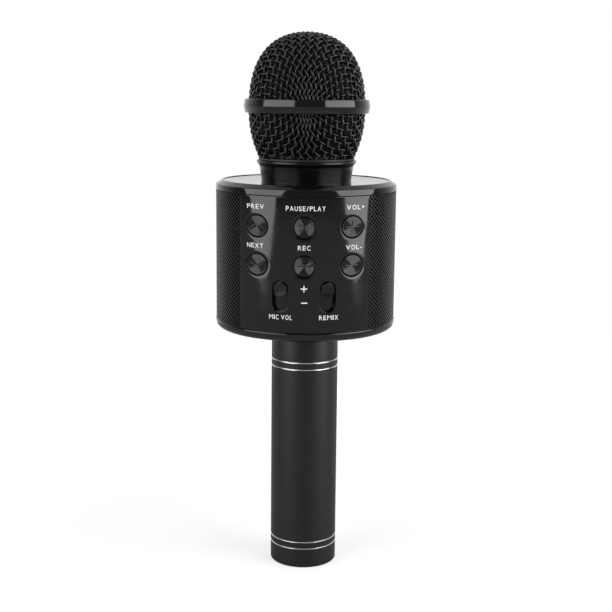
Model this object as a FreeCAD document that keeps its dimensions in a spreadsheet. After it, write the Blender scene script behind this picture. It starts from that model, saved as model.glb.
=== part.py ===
import FreeCAD, Part
import Sketcher
import math
import os
import re

from FreeCAD import Placement, Rotation, Vector

# A karaoke microphone that stands on the end of its handle: millimetres, Z up, front towards -Y.
# The origin is the centre of the handle's lower end. The drum in the middle holds the loudspeaker,
# the keys and the sockets; the head above it unscrews from the collar.

doc = FreeCAD.newDocument("microphone")

# ---------------------------------------------------------------------------------------------
# Driving sizes: every one can be changed by itself.

SIZES = {
    # handle
    "handle_radius": 15.5,
    "handle_length": 113.8,
    "tube_wall": 1.6,
    "tube_edge_round": 0.8,
    "groove_width": 0.6,
    "groove_depth": 0.3,
    "low_groove_z": 9.25,
    "high_groove_drop": 18.3,
    "groove_spacing": 3.2,
    "cap_recess": 0.4,
    "cap_depth": 6.0,
    "coin_slot_width": 1.8,
    "coin_slot_length": 14.0,
    "coin_slot_depth": 1.5,
    "cell_radius": 9.2,
    "cell_length": 65.0,
    "cell_gap": 0.2,
    "spring_length": 8.0,
    "spring_wire": 0.8,
    "spring_radius": 4.5,
    "spring_turns": 4.0,
    "contact_thickness": 0.8,
    "contact_radius": 7.0,
    "contact_nub": 1.2,
    "contact_nub_radius": 2.5,
    "cradle_floor": 2.0,
    "cradle_bore": 3.4,
    "coupler_spigot": 18.8,
    "coupler_rim": 6.2,
    "coupler_flange": 2.5,
    "coupler_bore": 5.0,
    # drum covers
    "drum_radius": 41.05,
    "cover_overhang": 0.25,
    "wall_height": 59.1,
    "bottom_cover_height": 4.25,
    "bottom_round": 3.5,
    "top_cover_height": 4.3,
    "top_round": 2.3,
    "cover_wall": 2.0,
    "seam_gap": 0.35,
    "seam_reach": 0.5,
    # front panel and grille
    "panel_angle": 43.1,
    "panel_wall": 2.0,
    "grille_sheet": 0.8,
    "grille_joint": 0.4,
    "cloth_thickness": 0.3,
    "chassis_wall": 1.6,
    "window_pitch": 38.57,
    "window_angle": 30.0,
    "window_rim": 8.0,
    "panel_window_margin": 4.0,
    "panel_window_rim": 2.0,
    # keys
    "key_angle": 30.0,
    "upper_row_drop": 13.25,
    "row_pitch": 16.7,
    "button_radius": 4.6,
    "button_gap": 0.35,
    "button_recess": 0.3,
    "button_dish": 0.65,
    "button_rim": 0.4,
    "button_travel": 0.6,
    "boss_wall": 0.95,
    "centre_boss": 4.0,
    "button_flange": 0.8,
    "flange_margin": 0.7,
    "stem_radius": 1.5,
    "tact_size": 6.0,
    "tact_height": 3.5,
    "stem_entry": 0.2,
    # sliders
    "slider_angle": 14.55,
    "slot_drop": 13.1,
    "slot_width": 6.75,
    "slot_length": 13.8,
    "knob_width": 6.1,
    "knob_length": 7.0,
    "knob_top_gap": 0.8,
    "knob_foot_gap": 0.5,
    "knob_recess": 0.8,
    "knob_dish": 0.5,
    "skirt_margin": 0.5,
    "skirt_thickness": 0.8,
    "hub_depth": 2.6,
    "lever_width": 1.4,
    "lever_length": 3.6,
    "lever_entry": 2.0,
    "pot_width": 7.0,
    "pot_length": 16.0,
    "pot_depth": 6.5,
    # boards
    "board_setback": 16.05,
    "board_thickness": 1.6,
    "board_side_gap": 1.9,
    "board_lift": 4.2,
    "board_headroom": 1.5,
    "rail_width": 3.6,
    "rail_depth": 2.0,
    "chip_height": 1.5,
    "processor_side": 10.0,
    "processor_x": 6.0,
    "processor_lift": 14.0,
    "amplifier_width": 7.0,
    "amplifier_height": 5.0,
    "amplifier_x": 10.0,
    "amplifier_lift": 30.0,
    "radio_width": 9.0,
    "radio_height": 4.0,
    "radio_x": 10.0,
    "radio_lift": 38.0,
    "memory_width": 5.0,
    "memory_height": 6.0,
    "memory_x": 8.0,
    "memory_lift": 40.0,
    "port_board_lift": 10.2,
    "port_board_width": 54.0,
    "port_board_front_y": 6.0,
    "post_radius": 1.8,
    "post_offset": 20.0,
    # sockets and switch in the bottom cover
    "socket_recess": 0.8,
    "socket_wall": 0.4,
    "usb_inset": 9.55,
    "usb_width": 13.2,
    "usb_depth": 5.8,
    "usb_cavity": 9.0,
    "tongue_thickness": 1.8,
    "tongue_side_gap": 1.2,
    "tongue_setback": 1.0,
    "charge_x": 13.5,
    "charge_setback": 2.2,
    "charge_width": 7.8,
    "charge_depth": 3.0,
    "charge_cavity": 4.5,
    "jack_radius": 3.1,
    "jack_bore": 1.8,
    "jack_bore_depth": 12.0,
    "card_inset": 13.35,
    "card_y": 12.0,
    "card_width": 12.0,
    "card_depth": 2.4,
    "card_slit": 0.8,
    "card_cavity": 9.0,
    "switch_knob": 3.2,
    "switch_travel": 3.0,
    "switch_width": 4.6,
    "switch_length": 10.0,
    "switch_keeper_room": 1.6,
    "switch_keeper_margin": 1.0,
    "switch_proud": 0.7,
    # loudspeaker
    "baffle_thickness": 2.0,
    "baffle_lift": 1.6,
    "speaker_end_gap": 2.6,
    "speaker_side_gap": 1.3,
    "speaker_flange": 1.5,
    "speaker_rim": 2.2,
    "basket_depth": 12.0,
    "basket_wall": 1.0,
    "magnet_radius": 14.0,
    "magnet_thickness": 6.0,
    "yoke_plate": 2.0,
    "pole_radius": 4.2,
    "coil_gap": 0.4,
    "coil_wall": 0.5,
    "cone_neck": 3.0,
    "roll_width": 1.8,
    "cone_wall": 0.5,
    # neck and head
    "collar_height": 8.85,
    "collar_base_radius": 20.4,
    "collar_neck_radius": 21.5,
    "collar_lip_radius": 22.0,
    "collar_lip": 1.0,
    "collar_floor": 3.0,
    "collar_wall": 0.6,
    "spigot_radius": 15.7,
    "spigot_wall": 2.7,
    "nut_radius": 20.8,
    "nut_height": 4.0,
    "thread_depth": 4.6,
    "thread_flange": 0.7,
    "bowl_height": 23.8,
    "bowl_rim_height": 2.4,
    "bowl_base_inset": 0.25,
    "mesh_radius": 26.45,
    "mesh_thickness": 1.6,
    "strand_relief": 0.8,
    "strand_width": 1.3,
    "strand_spacing": 8.7,
    "strand_lean": 27.0,
    "strand_border": 0.5,
    "dome_height": 32.9,
    "dome_shoulder": 0.62,
    "dome_crown": 0.66,
    "ring_height": 6.2,
    "ring_wall": 2.15,
    "ring_edge_drop": 0.6,
    "foam_gap": 0.4,
    "cup_clearance": 1.4,
    "foam_lift": 1.5,
    "cradle_cup_height": 18.5,
    "cradle_cup_wall": 1.0,
    "cradle_cup_floor": 2.0,
    "capsule_radius": 14.5,
    "capsule_height": 16.0,
    "capsule_lift": 10.5,
    "capsule_screen": 2.5,
    "capsule_bore": 3.0,
    # fits, screws and leads
    "fit_gap": 0.1,
    "move_gap": 0.3,
    "screw_radius": 1.2,
    "screw_head_radius": 2.4,
    "screw_head": 1.4,
    "screw_length": 7.0,
    "pilot_extra": 1.0,
    "cover_screw_inset": 2.7,
    "cover_screw_angle": 20.0,
    "cover_boss_radius": 3.6,
    "coupler_screw_length": 4.2,
    "lead_radius": 1.2,
    "lead_bend": 10.0,
    "supply_rise": 4.0,
    "signal_drop": 12.0,
    "voice_bend": 20.0,
    "voice_shift": 4.0,
    "voice_straight": 5.0,
}

# Levels and radii that follow from the driving sizes.
LEVELS = {
    "tube_inner_radius": "handle_radius - tube_wall",
    "cradle_radius": "tube_inner_radius - fit_gap",
    "cradle_pocket_radius": "cell_radius + cell_gap",
    "cradle_base_z": "cap_depth",
    "pocket_base_z": "cradle_base_z + cradle_floor",
    "cell_base_z": "pocket_base_z + spring_length",
    "cell_top_z": "cell_base_z + cell_length",
    "contact_z": "cell_top_z + contact_nub",
    "pocket_top_z": "contact_z + contact_thickness",
    "high_groove_z": "handle_length - high_groove_drop",
    "coupler_base_z": "handle_length - coupler_spigot",
    "coupler_flange_radius": "cradle_radius + coupler_rim",
    "coupler_screw_radius": "cradle_radius + coupler_rim / 2",
    "floor_z": "handle_length + cover_wall",
    "coupler_top_z": "floor_z + coupler_flange",
    "lower_seam_z": "handle_length + bottom_cover_height",
    "upper_seam_z": "lower_seam_z + wall_height",
    "wall_low_z": "lower_seam_z + seam_gap / 2",
    "wall_high_z": "upper_seam_z - seam_gap / 2",
    "drum_top_z": "upper_seam_z + top_cover_height",
    "ceiling_z": "drum_top_z - cover_wall",
    "cover_radius": "drum_radius + cover_overhang",
    "cover_inner_radius": "cover_radius - cover_wall",
    "land_radius": "drum_radius - seam_reach",
    "panel_inner_radius": "drum_radius - panel_wall",
    "grille_inner_radius": "drum_radius - grille_sheet",
    "cloth_radius": "grille_inner_radius - fit_gap",
    "chassis_radius": "panel_inner_radius - fit_gap",
    "chassis_inner_radius": "chassis_radius - chassis_wall",
    "usb_y": "chassis_inner_radius - usb_inset",
    "charge_y": "usb_y - charge_setback",
    "card_x": "chassis_inner_radius - card_inset",
    "button_offset": "drum_radius * sin(key_angle * 1 deg)",
    "upper_row_z": "upper_seam_z - upper_row_drop",
    "lower_row_z": "upper_row_z - row_pitch",
    "hole_radius": "button_radius + button_gap",
    "boss_radius": "hole_radius + boss_wall",
    "side_boss_reach": "button_offset + boss_radius",
    "side_boss_y": "sqrt(panel_inner_radius ^ 2 - side_boss_reach ^ 2) - fit_gap",
    "centre_boss_y": "panel_inner_radius - centre_boss",
    "flange_radius": "button_radius + flange_margin + button_gap",
    "dish_radius": "button_radius - button_rim",
    "board_front_y": "panel_inner_radius - board_setback",
    "tact_bore_depth": "stem_entry + button_travel + move_gap",
    "tact_front_y": "board_front_y + tact_height",
    "stem_end_y": "tact_front_y - stem_entry",
    "board_back_y": "board_front_y - board_thickness",
    "board_width": "2 * sqrt(chassis_inner_radius ^ 2 - board_front_y ^ 2) - 2 * board_side_gap",
    "board_base_z": "floor_z + board_lift",
    "slider_offset": "drum_radius * sin(slider_angle * 1 deg)",
    "slot_centre_z": "lower_row_z - slot_drop",
    "slider_travel": "slot_length - knob_length - knob_top_gap - knob_foot_gap",
    "skirt_width": "slot_width + 2 * skirt_margin",
    "skirt_length": "2 * (slot_length - knob_top_gap - knob_length / 2 + skirt_margin)",
    "knob_rest_z": "slot_centre_z + slot_length / 2 - knob_top_gap - knob_length / 2",
    "pot_centre_z": "knob_rest_z - slider_travel / 2",
    "pot_front_y": "board_front_y + pot_depth",
    "skirt_radius": "panel_inner_radius - move_gap",
    "skirt_inner_radius": "skirt_radius - skirt_thickness",
    "hub_back_y": "sqrt(skirt_inner_radius ^ 2 - slider_offset ^ 2) - hub_depth",
    "socket_base_z": "handle_length + socket_recess",
    "port_board_z": "floor_z + port_board_lift",
    "switch_base_z": "floor_z + switch_keeper_room",
    "baffle_base_z": "port_board_z + board_thickness + baffle_lift",
    "speaker_z": "(baffle_base_z + ceiling_z) / 2",
    "speaker_radius": "(ceiling_z - baffle_base_z) / 2 - speaker_end_gap",
    "basket_radius": "speaker_radius - speaker_rim",
    "cone_radius": "basket_radius - basket_wall - roll_width",
    "flange_y": "sqrt(chassis_inner_radius ^ 2 - speaker_radius ^ 2) - speaker_side_gap - speaker_flange",
    "baffle_y": "flange_y - baffle_thickness",
    "basket_back_y": "flange_y - basket_depth",
    "plate_y": "basket_back_y - yoke_plate",
    "magnet_y": "plate_y - magnet_thickness",
    "yoke_y": "magnet_y - yoke_plate",
    "cone_neck_y": "basket_back_y + cone_neck",
    "coil_radius": "pole_radius + coil_gap",
    "coil_outer_radius": "coil_radius + coil_wall",
    "plate_bore": "coil_outer_radius + coil_gap",
    "collar_top_z": "drum_top_z + collar_height",
    "collar_floor_z": "drum_top_z + collar_floor",
    "collar_bore": "collar_base_radius - collar_wall",
    "thread_radius": "collar_bore - move_gap",
    "spigot_bore": "spigot_radius - spigot_wall",
    "nut_base_z": "ceiling_z - nut_height",
    "board_height": "nut_base_z - board_headroom - board_base_z",
    "cover_screw_reach": "chassis_inner_radius - cover_screw_inset",
    "cover_screw_x": "cover_screw_reach * cos(cover_screw_angle * 1 deg)",
    "cover_screw_y": "cover_screw_reach * sin(cover_screw_angle * 1 deg)",
    "head_base_z": "collar_top_z + move_gap",
    "bowl_base_z": "head_base_z + thread_flange",
    "thread_base_z": "head_base_z - thread_depth",
    "ring_z": "head_base_z + bowl_height",
    "bowl_widest_z": "ring_z - bowl_rim_height",
    "dome_top_z": "ring_z + dome_height",
    "ring_foot_z": "ring_z - ring_height / 2",
    "ring_head_z": "ring_z + ring_height / 2",
    "bowl_base_radius": "collar_lip_radius - bowl_base_inset",
    "bowl_step": "mesh_radius - bowl_base_radius",
    "bowl_rise": "bowl_widest_z - bowl_base_z",
    "bowl_arc": "(bowl_step ^ 2 + bowl_rise ^ 2) / (2 * bowl_step)",
    "ring_radius": "mesh_radius + ring_wall",
    "ring_bore": "mesh_radius + fit_gap / 2",
    "cup_radius": "capsule_radius + fit_gap + cradle_cup_wall",
    "thread_bore": "cup_radius + cup_clearance",
    "foam_bore": "cup_radius + foam_gap",
    "cup_top_z": "collar_floor_z + cradle_cup_height",
    "capsule_base_z": "collar_floor_z + cradle_cup_floor + capsule_lift",
    "capsule_top_z": "capsule_base_z + capsule_height",
    "screen_top_z": "capsule_top_z + capsule_screen",
}


def bound(text):
    """Name the sheet that each size or level in an expression comes from."""
    def home(match):
        word = match.group(0)
        if word in SIZES:
            return "Sizes." + word
        if word in LEVELS:
            return "Levels." + word
        return word
    return re.sub(r"[a-z][a-z0-9_]*", home, text)


def fill_sheet(name, rows):
    """Write one spreadsheet: a name in column A, its aliased value in column B."""
    sheet = doc.addObject("Spreadsheet::Sheet", name)
    for row, (alias, content) in enumerate(rows, 1):
        sheet.set(f"A{row}", alias)
        sheet.set(f"B{row}", content)
        sheet.setAlias(f"B{row}", alias)
    return sheet


sizes = fill_sheet("Sizes", [(alias, str(value)) for alias, value in SIZES.items()])
levels = fill_sheet("Levels", [(alias, "=" + bound(rule)) for alias, rule in LEVELS.items()])
doc.recompute()


def number(name):
    """The present value of a size or a level, or of a plain number written as text."""
    if name in SIZES:
        return float(getattr(sizes, name))
    if name in LEVELS:
        return float(getattr(levels, name))
    return float(name)


# ---------------------------------------------------------------------------------------------
# Ways of making a piece.

pieces = []      # the finished sub-parts, in the order they are made


def finish(shape_object, label):
    """Give a finished sub-part its name and put it on the list."""
    shape_object.Label = label
    pieces.append(shape_object)
    return shape_object


def bind(target, **rules):
    """Tie properties to expressions of sizes and levels."""
    for key, rule in rules.items():
        target.setExpression(key, bound(rule))
    return target


def place(target, x="0", y="0", z="0", turn=None):
    """Tie an object's position to expressions; turn is its fixed rotation."""
    if turn is not None:
        target.Placement = Placement(Vector(0, 0, 0), turn)
    for axis, rule in zip("xyz", (x, y, z)):
        target.setExpression("Placement.Base." + axis, bound(rule))
    return target


TO_REAR = Rotation(Vector(1, 0, 0), -90)       # turns local Z to +Y
TO_FRONT = Rotation(Vector(1, 0, 0), 90)       # turns local Z to -Y
DOWN = Rotation(Vector(1, 0, 0), 180)          # turns local Z to -Z
HALF_TURN = Rotation(Vector(0, 0, 1), 180)     # turns +Y to -Y about Z
AHEAD = Rotation()                             # leaves local Z as it is


def cylinder(name, radius, height, x="0", y="0", z="0", turn=None):
    """A round bar from its base point along its own Z."""
    bar = doc.addObject("Part::Cylinder", name)
    bind(bar, Radius=radius, Height=height)
    return place(bar, x, y, z, turn)


def wedge(name, radius, height, z, angle, start):
    """A pie slice of a cylinder about Z that opens anticlockwise from a start angle in degrees."""
    pie = doc.addObject("Part::Cylinder", name)
    bind(pie, Radius=radius, Height=height, Angle=angle)
    pie.Placement = Placement(Vector(0, 0, 0), Rotation(Vector(0, 0, 1), 1))
    bind(pie, **{"Placement.Rotation.Angle": start, "Placement.Base.z": z})
    return pie


def box(name, width, depth, height, x="0", y="0", z="0"):
    """A block centred on x and y that stands on z."""
    block = doc.addObject("Part::Box", name)
    bind(block, Length=width, Width=depth, Height=height)
    return place(block, f"{x} - ({width}) / 2", f"{y} - ({depth}) / 2", z)


def cut(name, base, *tools):
    """The base with every tool taken away."""
    result = doc.addObject("Part::Cut", name)
    result.Base = base
    result.Tool = tools[0] if len(tools) == 1 else gather(name + "_tools", *tools)
    return result


def gather(name, *items):
    """Several solids joined where they meet."""
    result = doc.addObject("Part::MultiFuse", name)
    result.Shapes = list(items)
    return result


def common(name, first, second):
    """The part that two solids share."""
    result = doc.addObject("Part::Common", name)
    result.Base = first
    result.Tool = second
    return result


def group(name, *items):
    """Separate solids that share one node."""
    result = doc.addObject("Part::Compound", name)
    result.Links = list(items)
    return result


def plane_of(body, role):
    """One of a body's own origin planes."""
    return next(item for item in body.Origin.OriginFeatures if item.Role == role)


START_CENTRE = 20.0     # outlines start as a ring of corners here, before their expressions move them
START_RADIUS = 10.0
SAME = 1e-4             # two radii or heights this close are one


def outline_sketch(body, role, points):
    """A closed outline of (across, up) expressions, every corner tied to the sheets."""
    sketch = body.newObject("Sketcher::SketchObject", body.Name + "_outline")
    sketch.AttachmentSupport = [(plane_of(body, role), "")]
    sketch.MapMode = "FlatFace"
    count = len(points)
    spokes = [2 * math.pi * i / count for i in range(count)]
    rough = [Vector(START_CENTRE + START_RADIUS * math.cos(spoke),
                    START_CENTRE + START_RADIUS * math.sin(spoke), 0) for spoke in spokes]
    for i in range(count):
        sketch.addGeometry(Part.LineSegment(rough[i], rough[(i + 1) % count]), False)
    for i in range(count):
        sketch.addConstraint(Sketcher.Constraint("Coincident", i, 2, (i + 1) % count, 1))
    for i, (across, up) in enumerate(points):
        for kind, rule in (("DistanceX", across), ("DistanceY", up)):
            index = sketch.addConstraint(Sketcher.Constraint(kind, -1, 1, i, 1, START_CENTRE))
            sketch.setExpression(f"Constraints[{index}]", bound(rule))
    return sketch


def turned(name, points, rounds=(), angle="360"):
    """A piece turned about Z from an outline of (radius, height); a part turn is centred on +Y.

    Each of rounds is a fillet: the radius and height of a corner, and the fillet's own radius.
    """
    body = doc.addObject("PartDesign::Body", name)
    sketch = outline_sketch(body, "YZ_Plane", points)
    turn = body.newObject("PartDesign::Revolution", name + "_turn")
    turn.Profile = sketch
    turn.ReferenceAxis = (sketch, ["V_Axis"])
    turn.Midplane = True
    bind(turn, Angle=angle)
    doc.recompute()
    for i, (across, up, size) in enumerate(rounds):
        round_corner(body, f"{name}_round{i}", number(across), number(up), size)
    return body


def round_corner(body, name, radius, height, size):
    """A fillet on the circular edges that lie at one radius and one height."""
    solid = body.Tip
    chosen = []
    for i, rim in enumerate(solid.Shape.Edges, 1):
        curve = rim.Curve
        if not isinstance(curve, Part.Circle):
            continue
        if abs(curve.Radius - radius) < SAME and abs(curve.Center.z - height) < SAME:
            chosen.append(f"Edge{i}")
    fillet = body.newObject("PartDesign::Fillet", name)
    fillet.Base = (solid, chosen)
    bind(fillet, Radius=size)
    body.Tip = fillet
    doc.recompute()


def spun(name, edges):
    """A solid turned about Z from a closed loop of edges in the XZ plane."""
    feature = doc.addObject("Part::Feature", name)
    loop = Part.Wire(Part.__sortEdges__(edges))
    turn = Part.Face(loop).revolve(Vector(0, 0, 0), Vector(0, 0, 1), 360)
    feature.Shape = turn if turn.Volume > 0 else turn.reversed()
    feature.Placement = Placement()
    return feature


def edge(*corners):
    """A straight edge, or with four corners a Bezier curve, through (radius, height) points."""
    poles = [Vector(across, 0, up) for across, up in corners]
    if len(poles) == 2:
        return Part.LineSegment(*poles).toShape()
    curve = Part.BezierCurve()
    curve.setPoles(poles)
    return curve.toShape()


def wire_path(corners, bend):
    """Straight runs joined by tangent arcs of one radius."""
    points = [Vector(*corner) for corner in corners]
    edges = []
    here = points[0]
    for before, corner, after in zip(points, points[1:], points[2:]):
        back = (before - corner).normalize()
        ahead = (after - corner).normalize()
        half = math.acos(max(-1, min(1, back.dot(ahead)))) / 2
        reach = bend / math.tan(half)
        first = corner + back * reach
        last = corner + ahead * reach
        centre = corner + (back + ahead).normalize() * (bend / math.sin(half))
        middle = centre + (corner - centre).normalize() * bend
        edges.append(Part.LineSegment(here, first).toShape())
        edges.append(Part.Arc(first, middle, last).toShape())
        here = last
    edges.append(Part.LineSegment(here, points[-1]).toShape())
    return Part.Wire(edges)


def lead(name, corners, bend):
    """A round cable clipped inside the housing, along straight runs and arcs."""
    path = wire_path(corners, bend)
    radius = number("lead_radius")
    start = path.Edges[0]
    section = Part.Wire(Part.Circle(start.valueAt(start.FirstParameter),
                                    start.tangentAt(start.FirstParameter), radius).toShape())
    feature = doc.addObject("Part::Feature", name)
    feature.Shape = path.makePipeShell([section], True, False)
    feature.Placement = Placement()
    return feature


def screw(name, x, y, z, turn, length="screw_length"):
    """A pan-head screw: its seat under the head is the given point, its shank runs along turn."""
    head = cylinder(name + "_head", "screw_head_radius", "screw_head", x, y, z, turn * DOWN)
    shank = cylinder(name + "_shank", "screw_radius", length, x, y, z, turn)
    return gather(name, head, shank)


def screw_hole(name, x, y, z, turn):
    """A pilot hole for that screw, a little deeper than the shank."""
    return cylinder(name, "screw_radius + fit_gap / 2", "screw_length + pilot_extra", x, y, z, turn)


# ---------------------------------------------------------------------------------------------
# Handle

THIRDS = (30, 150, 270)      # degrees from +X, for sets of three screws


def around(radius, angle):
    """The x and y expressions of a point on a circle."""
    return f"{radius} * cos({angle} deg)", f"{radius} * sin({angle} deg)"


def groove_corners(z):
    """The three corners of one V groove cut into the tube."""
    return [("handle_radius", f"{z} - groove_width / 2"),
            ("handle_radius - groove_depth", z),
            ("handle_radius", f"{z} + groove_width / 2")]


def make_handle():
    outline = [("tube_inner_radius", "0"), ("handle_radius", "0")]
    for z in ("low_groove_z", "low_groove_z + groove_spacing",
              "high_groove_z", "high_groove_z + groove_spacing"):
        outline += groove_corners(z)
    outline += [("handle_radius", "handle_length"), ("tube_inner_radius", "handle_length")]
    tube = turned("tube_body", outline, rounds=[("handle_radius", "0", "tube_edge_round")])
    finish(tube, "handle_tube")

    plug = cylinder("plug", "cradle_radius", "cap_depth - cap_recess", z="cap_recess")
    slot = box("coin_slot", "coin_slot_length", "coin_slot_width", "coin_slot_depth", z="cap_recess")
    finish(cut("cap", plug, slot), "end_cap")

    coupler = turned("coupler_body", [
        ("coupler_bore", "coupler_base_z"), ("cradle_radius", "coupler_base_z"),
        ("cradle_radius", "floor_z"), ("coupler_flange_radius", "floor_z"),
        ("coupler_flange_radius", "coupler_top_z"), ("coupler_bore", "coupler_top_z")])
    holes = [cylinder(f"coupler_hole{i}", "screw_radius + fit_gap / 2", "coupler_flange",
                      *around("coupler_screw_radius", angle), "floor_z")
             for i, angle in enumerate(THIRDS)]
    finish(cut("coupler", coupler, *holes), "handle_coupler")


def make_battery():
    cell = turned("cell_body", [
        ("0", "cell_base_z"), ("cell_radius", "cell_base_z"),
        ("cell_radius", "cell_top_z"), ("0", "cell_top_z")])
    finish(cell, "battery_cell")

    half = [("cradle_bore", "cradle_base_z"), ("cradle_radius", "cradle_base_z"),
            ("cradle_radius", "coupler_base_z"), ("cradle_bore", "coupler_base_z"),
            ("cradle_bore", "pocket_top_z"), ("cradle_pocket_radius", "pocket_top_z"),
            ("cradle_pocket_radius", "pocket_base_z"), ("cradle_bore", "pocket_base_z")]
    rear = turned("cradle_rear", half, angle="180")
    finish(rear, "battery_cradle_rear")
    front = turned("cradle_front", half, angle="180")
    front.Placement = Placement(Vector(0, 0, 0), HALF_TURN)
    finish(front, "battery_cradle_front")

    plate = turned("contact_body", [
        ("0", "cell_top_z"), ("contact_nub_radius", "cell_top_z"),
        ("contact_nub_radius", "contact_z"), ("contact_radius", "contact_z"),
        ("contact_radius", "pocket_top_z"), ("0", "pocket_top_z")])
    finish(plate, "battery_contact")

    half_wire = number("spring_wire") / 2
    turns = number("spring_turns")
    rise = number("spring_length") - 2 * half_wire
    middle = number("spring_radius")
    helix = Part.makeHelix(rise / turns, rise, middle)
    corners = [Vector(middle + across * half_wire, 0, up * half_wire)
               for across, up in ((-1, -1), (1, -1), (1, 1), (-1, 1), (-1, -1))]
    spring = doc.addObject("Part::Feature", "spring")
    spring.Shape = Part.Wire(helix.Edges).makePipeShell([Part.makePolygon(corners)], True, True)
    spring.Placement = Placement(Vector(0, 0, number("pocket_base_z") + half_wire), Rotation())
    finish(spring, "battery_spring")

    board_back = -number("board_back_y")
    turn_z = number("coupler_top_z") + number("supply_rise")
    supply = lead("supply_lead", [(0, 0, number("pocket_top_z")), (0, 0, turn_z),
                                  (0, board_back, turn_z)], number("lead_bend"))
    finish(supply, "battery_lead")


# ---------------------------------------------------------------------------------------------
# Drum

COVER_SCREWS = [("cover_screw_x", "cover_screw_y"), ("-cover_screw_x", "cover_screw_y"),
                ("-cover_screw_x", "-cover_screw_y"), ("cover_screw_x", "-cover_screw_y")]
POSTS = (("post_offset", "post_offset"), ("-post_offset", "post_offset"))


def make_covers():
    shell = turned("bottom_shell", [
        ("cradle_radius + fit_gap", "handle_length"), ("cover_radius", "handle_length"),
        ("cover_radius", "wall_low_z - seam_gap"), ("land_radius", "wall_low_z - seam_gap"),
        ("land_radius", "wall_low_z"), ("cover_inner_radius", "wall_low_z"),
        ("cover_inner_radius", "floor_z"), ("cradle_radius + fit_gap", "floor_z")],
        rounds=[("cover_radius", "handle_length", "bottom_round")])
    posts = [cylinder(f"post{i}", "post_radius", "port_board_z - floor_z", x, y, "floor_z")
             for i, (x, y) in enumerate(POSTS)]
    openings = [
        box("usb_opening", "usb_width + 2 * fit_gap", "usb_depth + 2 * fit_gap", "cover_wall",
            y="usb_y", z="handle_length"),
        box("charge_opening", "charge_width + 2 * fit_gap", "charge_depth + 2 * fit_gap", "cover_wall",
            "-charge_x", "charge_y", "handle_length"),
        cylinder("jack_opening", "jack_radius + fit_gap", "cover_wall", "charge_x", "charge_y",
                 "handle_length"),
        box("card_opening", "card_depth + 2 * fit_gap", "card_width + 2 * fit_gap", "cover_wall",
            "-card_x", "card_y", "handle_length"),
        box("switch_opening", "switch_knob + 2 * move_gap",
            "switch_knob + switch_travel + 2 * move_gap", "cover_wall",
            "card_x", "card_y", "handle_length")]
    openings += [screw_hole(f"low_pilot{i}", x, y, "handle_length", AHEAD)
                 for i, (x, y) in enumerate(COVER_SCREWS)]
    openings += [cylinder(f"low_sink{i}", "screw_head_radius + fit_gap", "screw_head",
                          x, y, "handle_length")
                 for i, (x, y) in enumerate(COVER_SCREWS)]
    openings += [cylinder(f"coupler_pilot{i}", "screw_radius + fit_gap / 2",
                          "coupler_screw_length - coupler_flange + fit_gap",
                          *around("coupler_screw_radius", angle), "floor_z", DOWN)
                 for i, angle in enumerate(THIRDS)]
    finish(cut("bottom", gather("bottom_solid", shell, *posts), *openings), "bottom_cover")

    lid = turned("top_shell", [
        ("spigot_radius + fit_gap", "drum_top_z"), ("cover_radius", "drum_top_z"),
        ("cover_radius", "wall_high_z + seam_gap"), ("land_radius", "wall_high_z + seam_gap"),
        ("land_radius", "wall_high_z"), ("cover_inner_radius", "wall_high_z"),
        ("cover_inner_radius", "ceiling_z"), ("spigot_radius + fit_gap", "ceiling_z")],
        rounds=[("cover_radius", "drum_top_z", "top_round")])
    finish(lid, "top_cover")


KEYS = {
    "previous_button": ("-button_offset", "upper_row_z", "side_boss_y"),
    "play_button": ("0", "upper_row_z", "centre_boss_y"),
    "volume_up_button": ("button_offset", "upper_row_z", "side_boss_y"),
    "next_button": ("-button_offset", "lower_row_z", "side_boss_y"),
    "record_button": ("0", "lower_row_z", "centre_boss_y"),
    "volume_down_button": ("button_offset", "lower_row_z", "side_boss_y"),
}
SLIDERS = {"mic_volume": "-slider_offset", "remix": "slider_offset"}


def stadium(name, width, height, depth, x, y, z):
    """An upright bar with round ends, drilled through along Y from its front at -y."""
    middle = box(name + "_middle", width, depth, f"{height} - {width}",
                 x, f"-({y}) + ({depth}) / 2", f"{z} - ({height} - {width}) / 2")
    ends = [cylinder(f"{name}_{end}", f"({width}) / 2", depth, x, f"-({y})",
                     f"{z} {sign} ({height} - {width}) / 2", TO_REAR)
            for end, sign in (("top", "+"), ("bottom", "-"))]
    return gather(name, middle, *ends)


def make_panel():
    start = "270 - panel_angle"
    height = "wall_high_z - wall_low_z"
    skin = cut("panel_wall_ring",
               wedge("panel_outer", "drum_radius", height, "wall_low_z", "2 * panel_angle", start),
               cylinder("panel_inner", "panel_inner_radius", height, z="wall_low_z"))
    bosses = []
    drills = []
    for key, (x, z, boss_y) in KEYS.items():
        bosses.append(cylinder(key + "_boss", "boss_radius", f"drum_radius - {boss_y}",
                               x, "-drum_radius", z, TO_REAR))
        drills.append(cylinder(key + "_drill", "hole_radius", "drum_radius", x, "-drum_radius",
                               z, TO_REAR))
    for slider, x in SLIDERS.items():
        drills.append(stadium(slider + "_slot", "slot_width", "slot_length", "drum_radius / 2",
                              x, "drum_radius", "slot_centre_z"))
    inside = cylinder("boss_limit", "panel_inner_radius + fit_gap", height, z="wall_low_z")
    bosses = common("boss_set", gather("boss_bars", *bosses), inside)
    finish(cut("panel", gather("panel_solid", skin, bosses), *drills), "front_panel")


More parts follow.
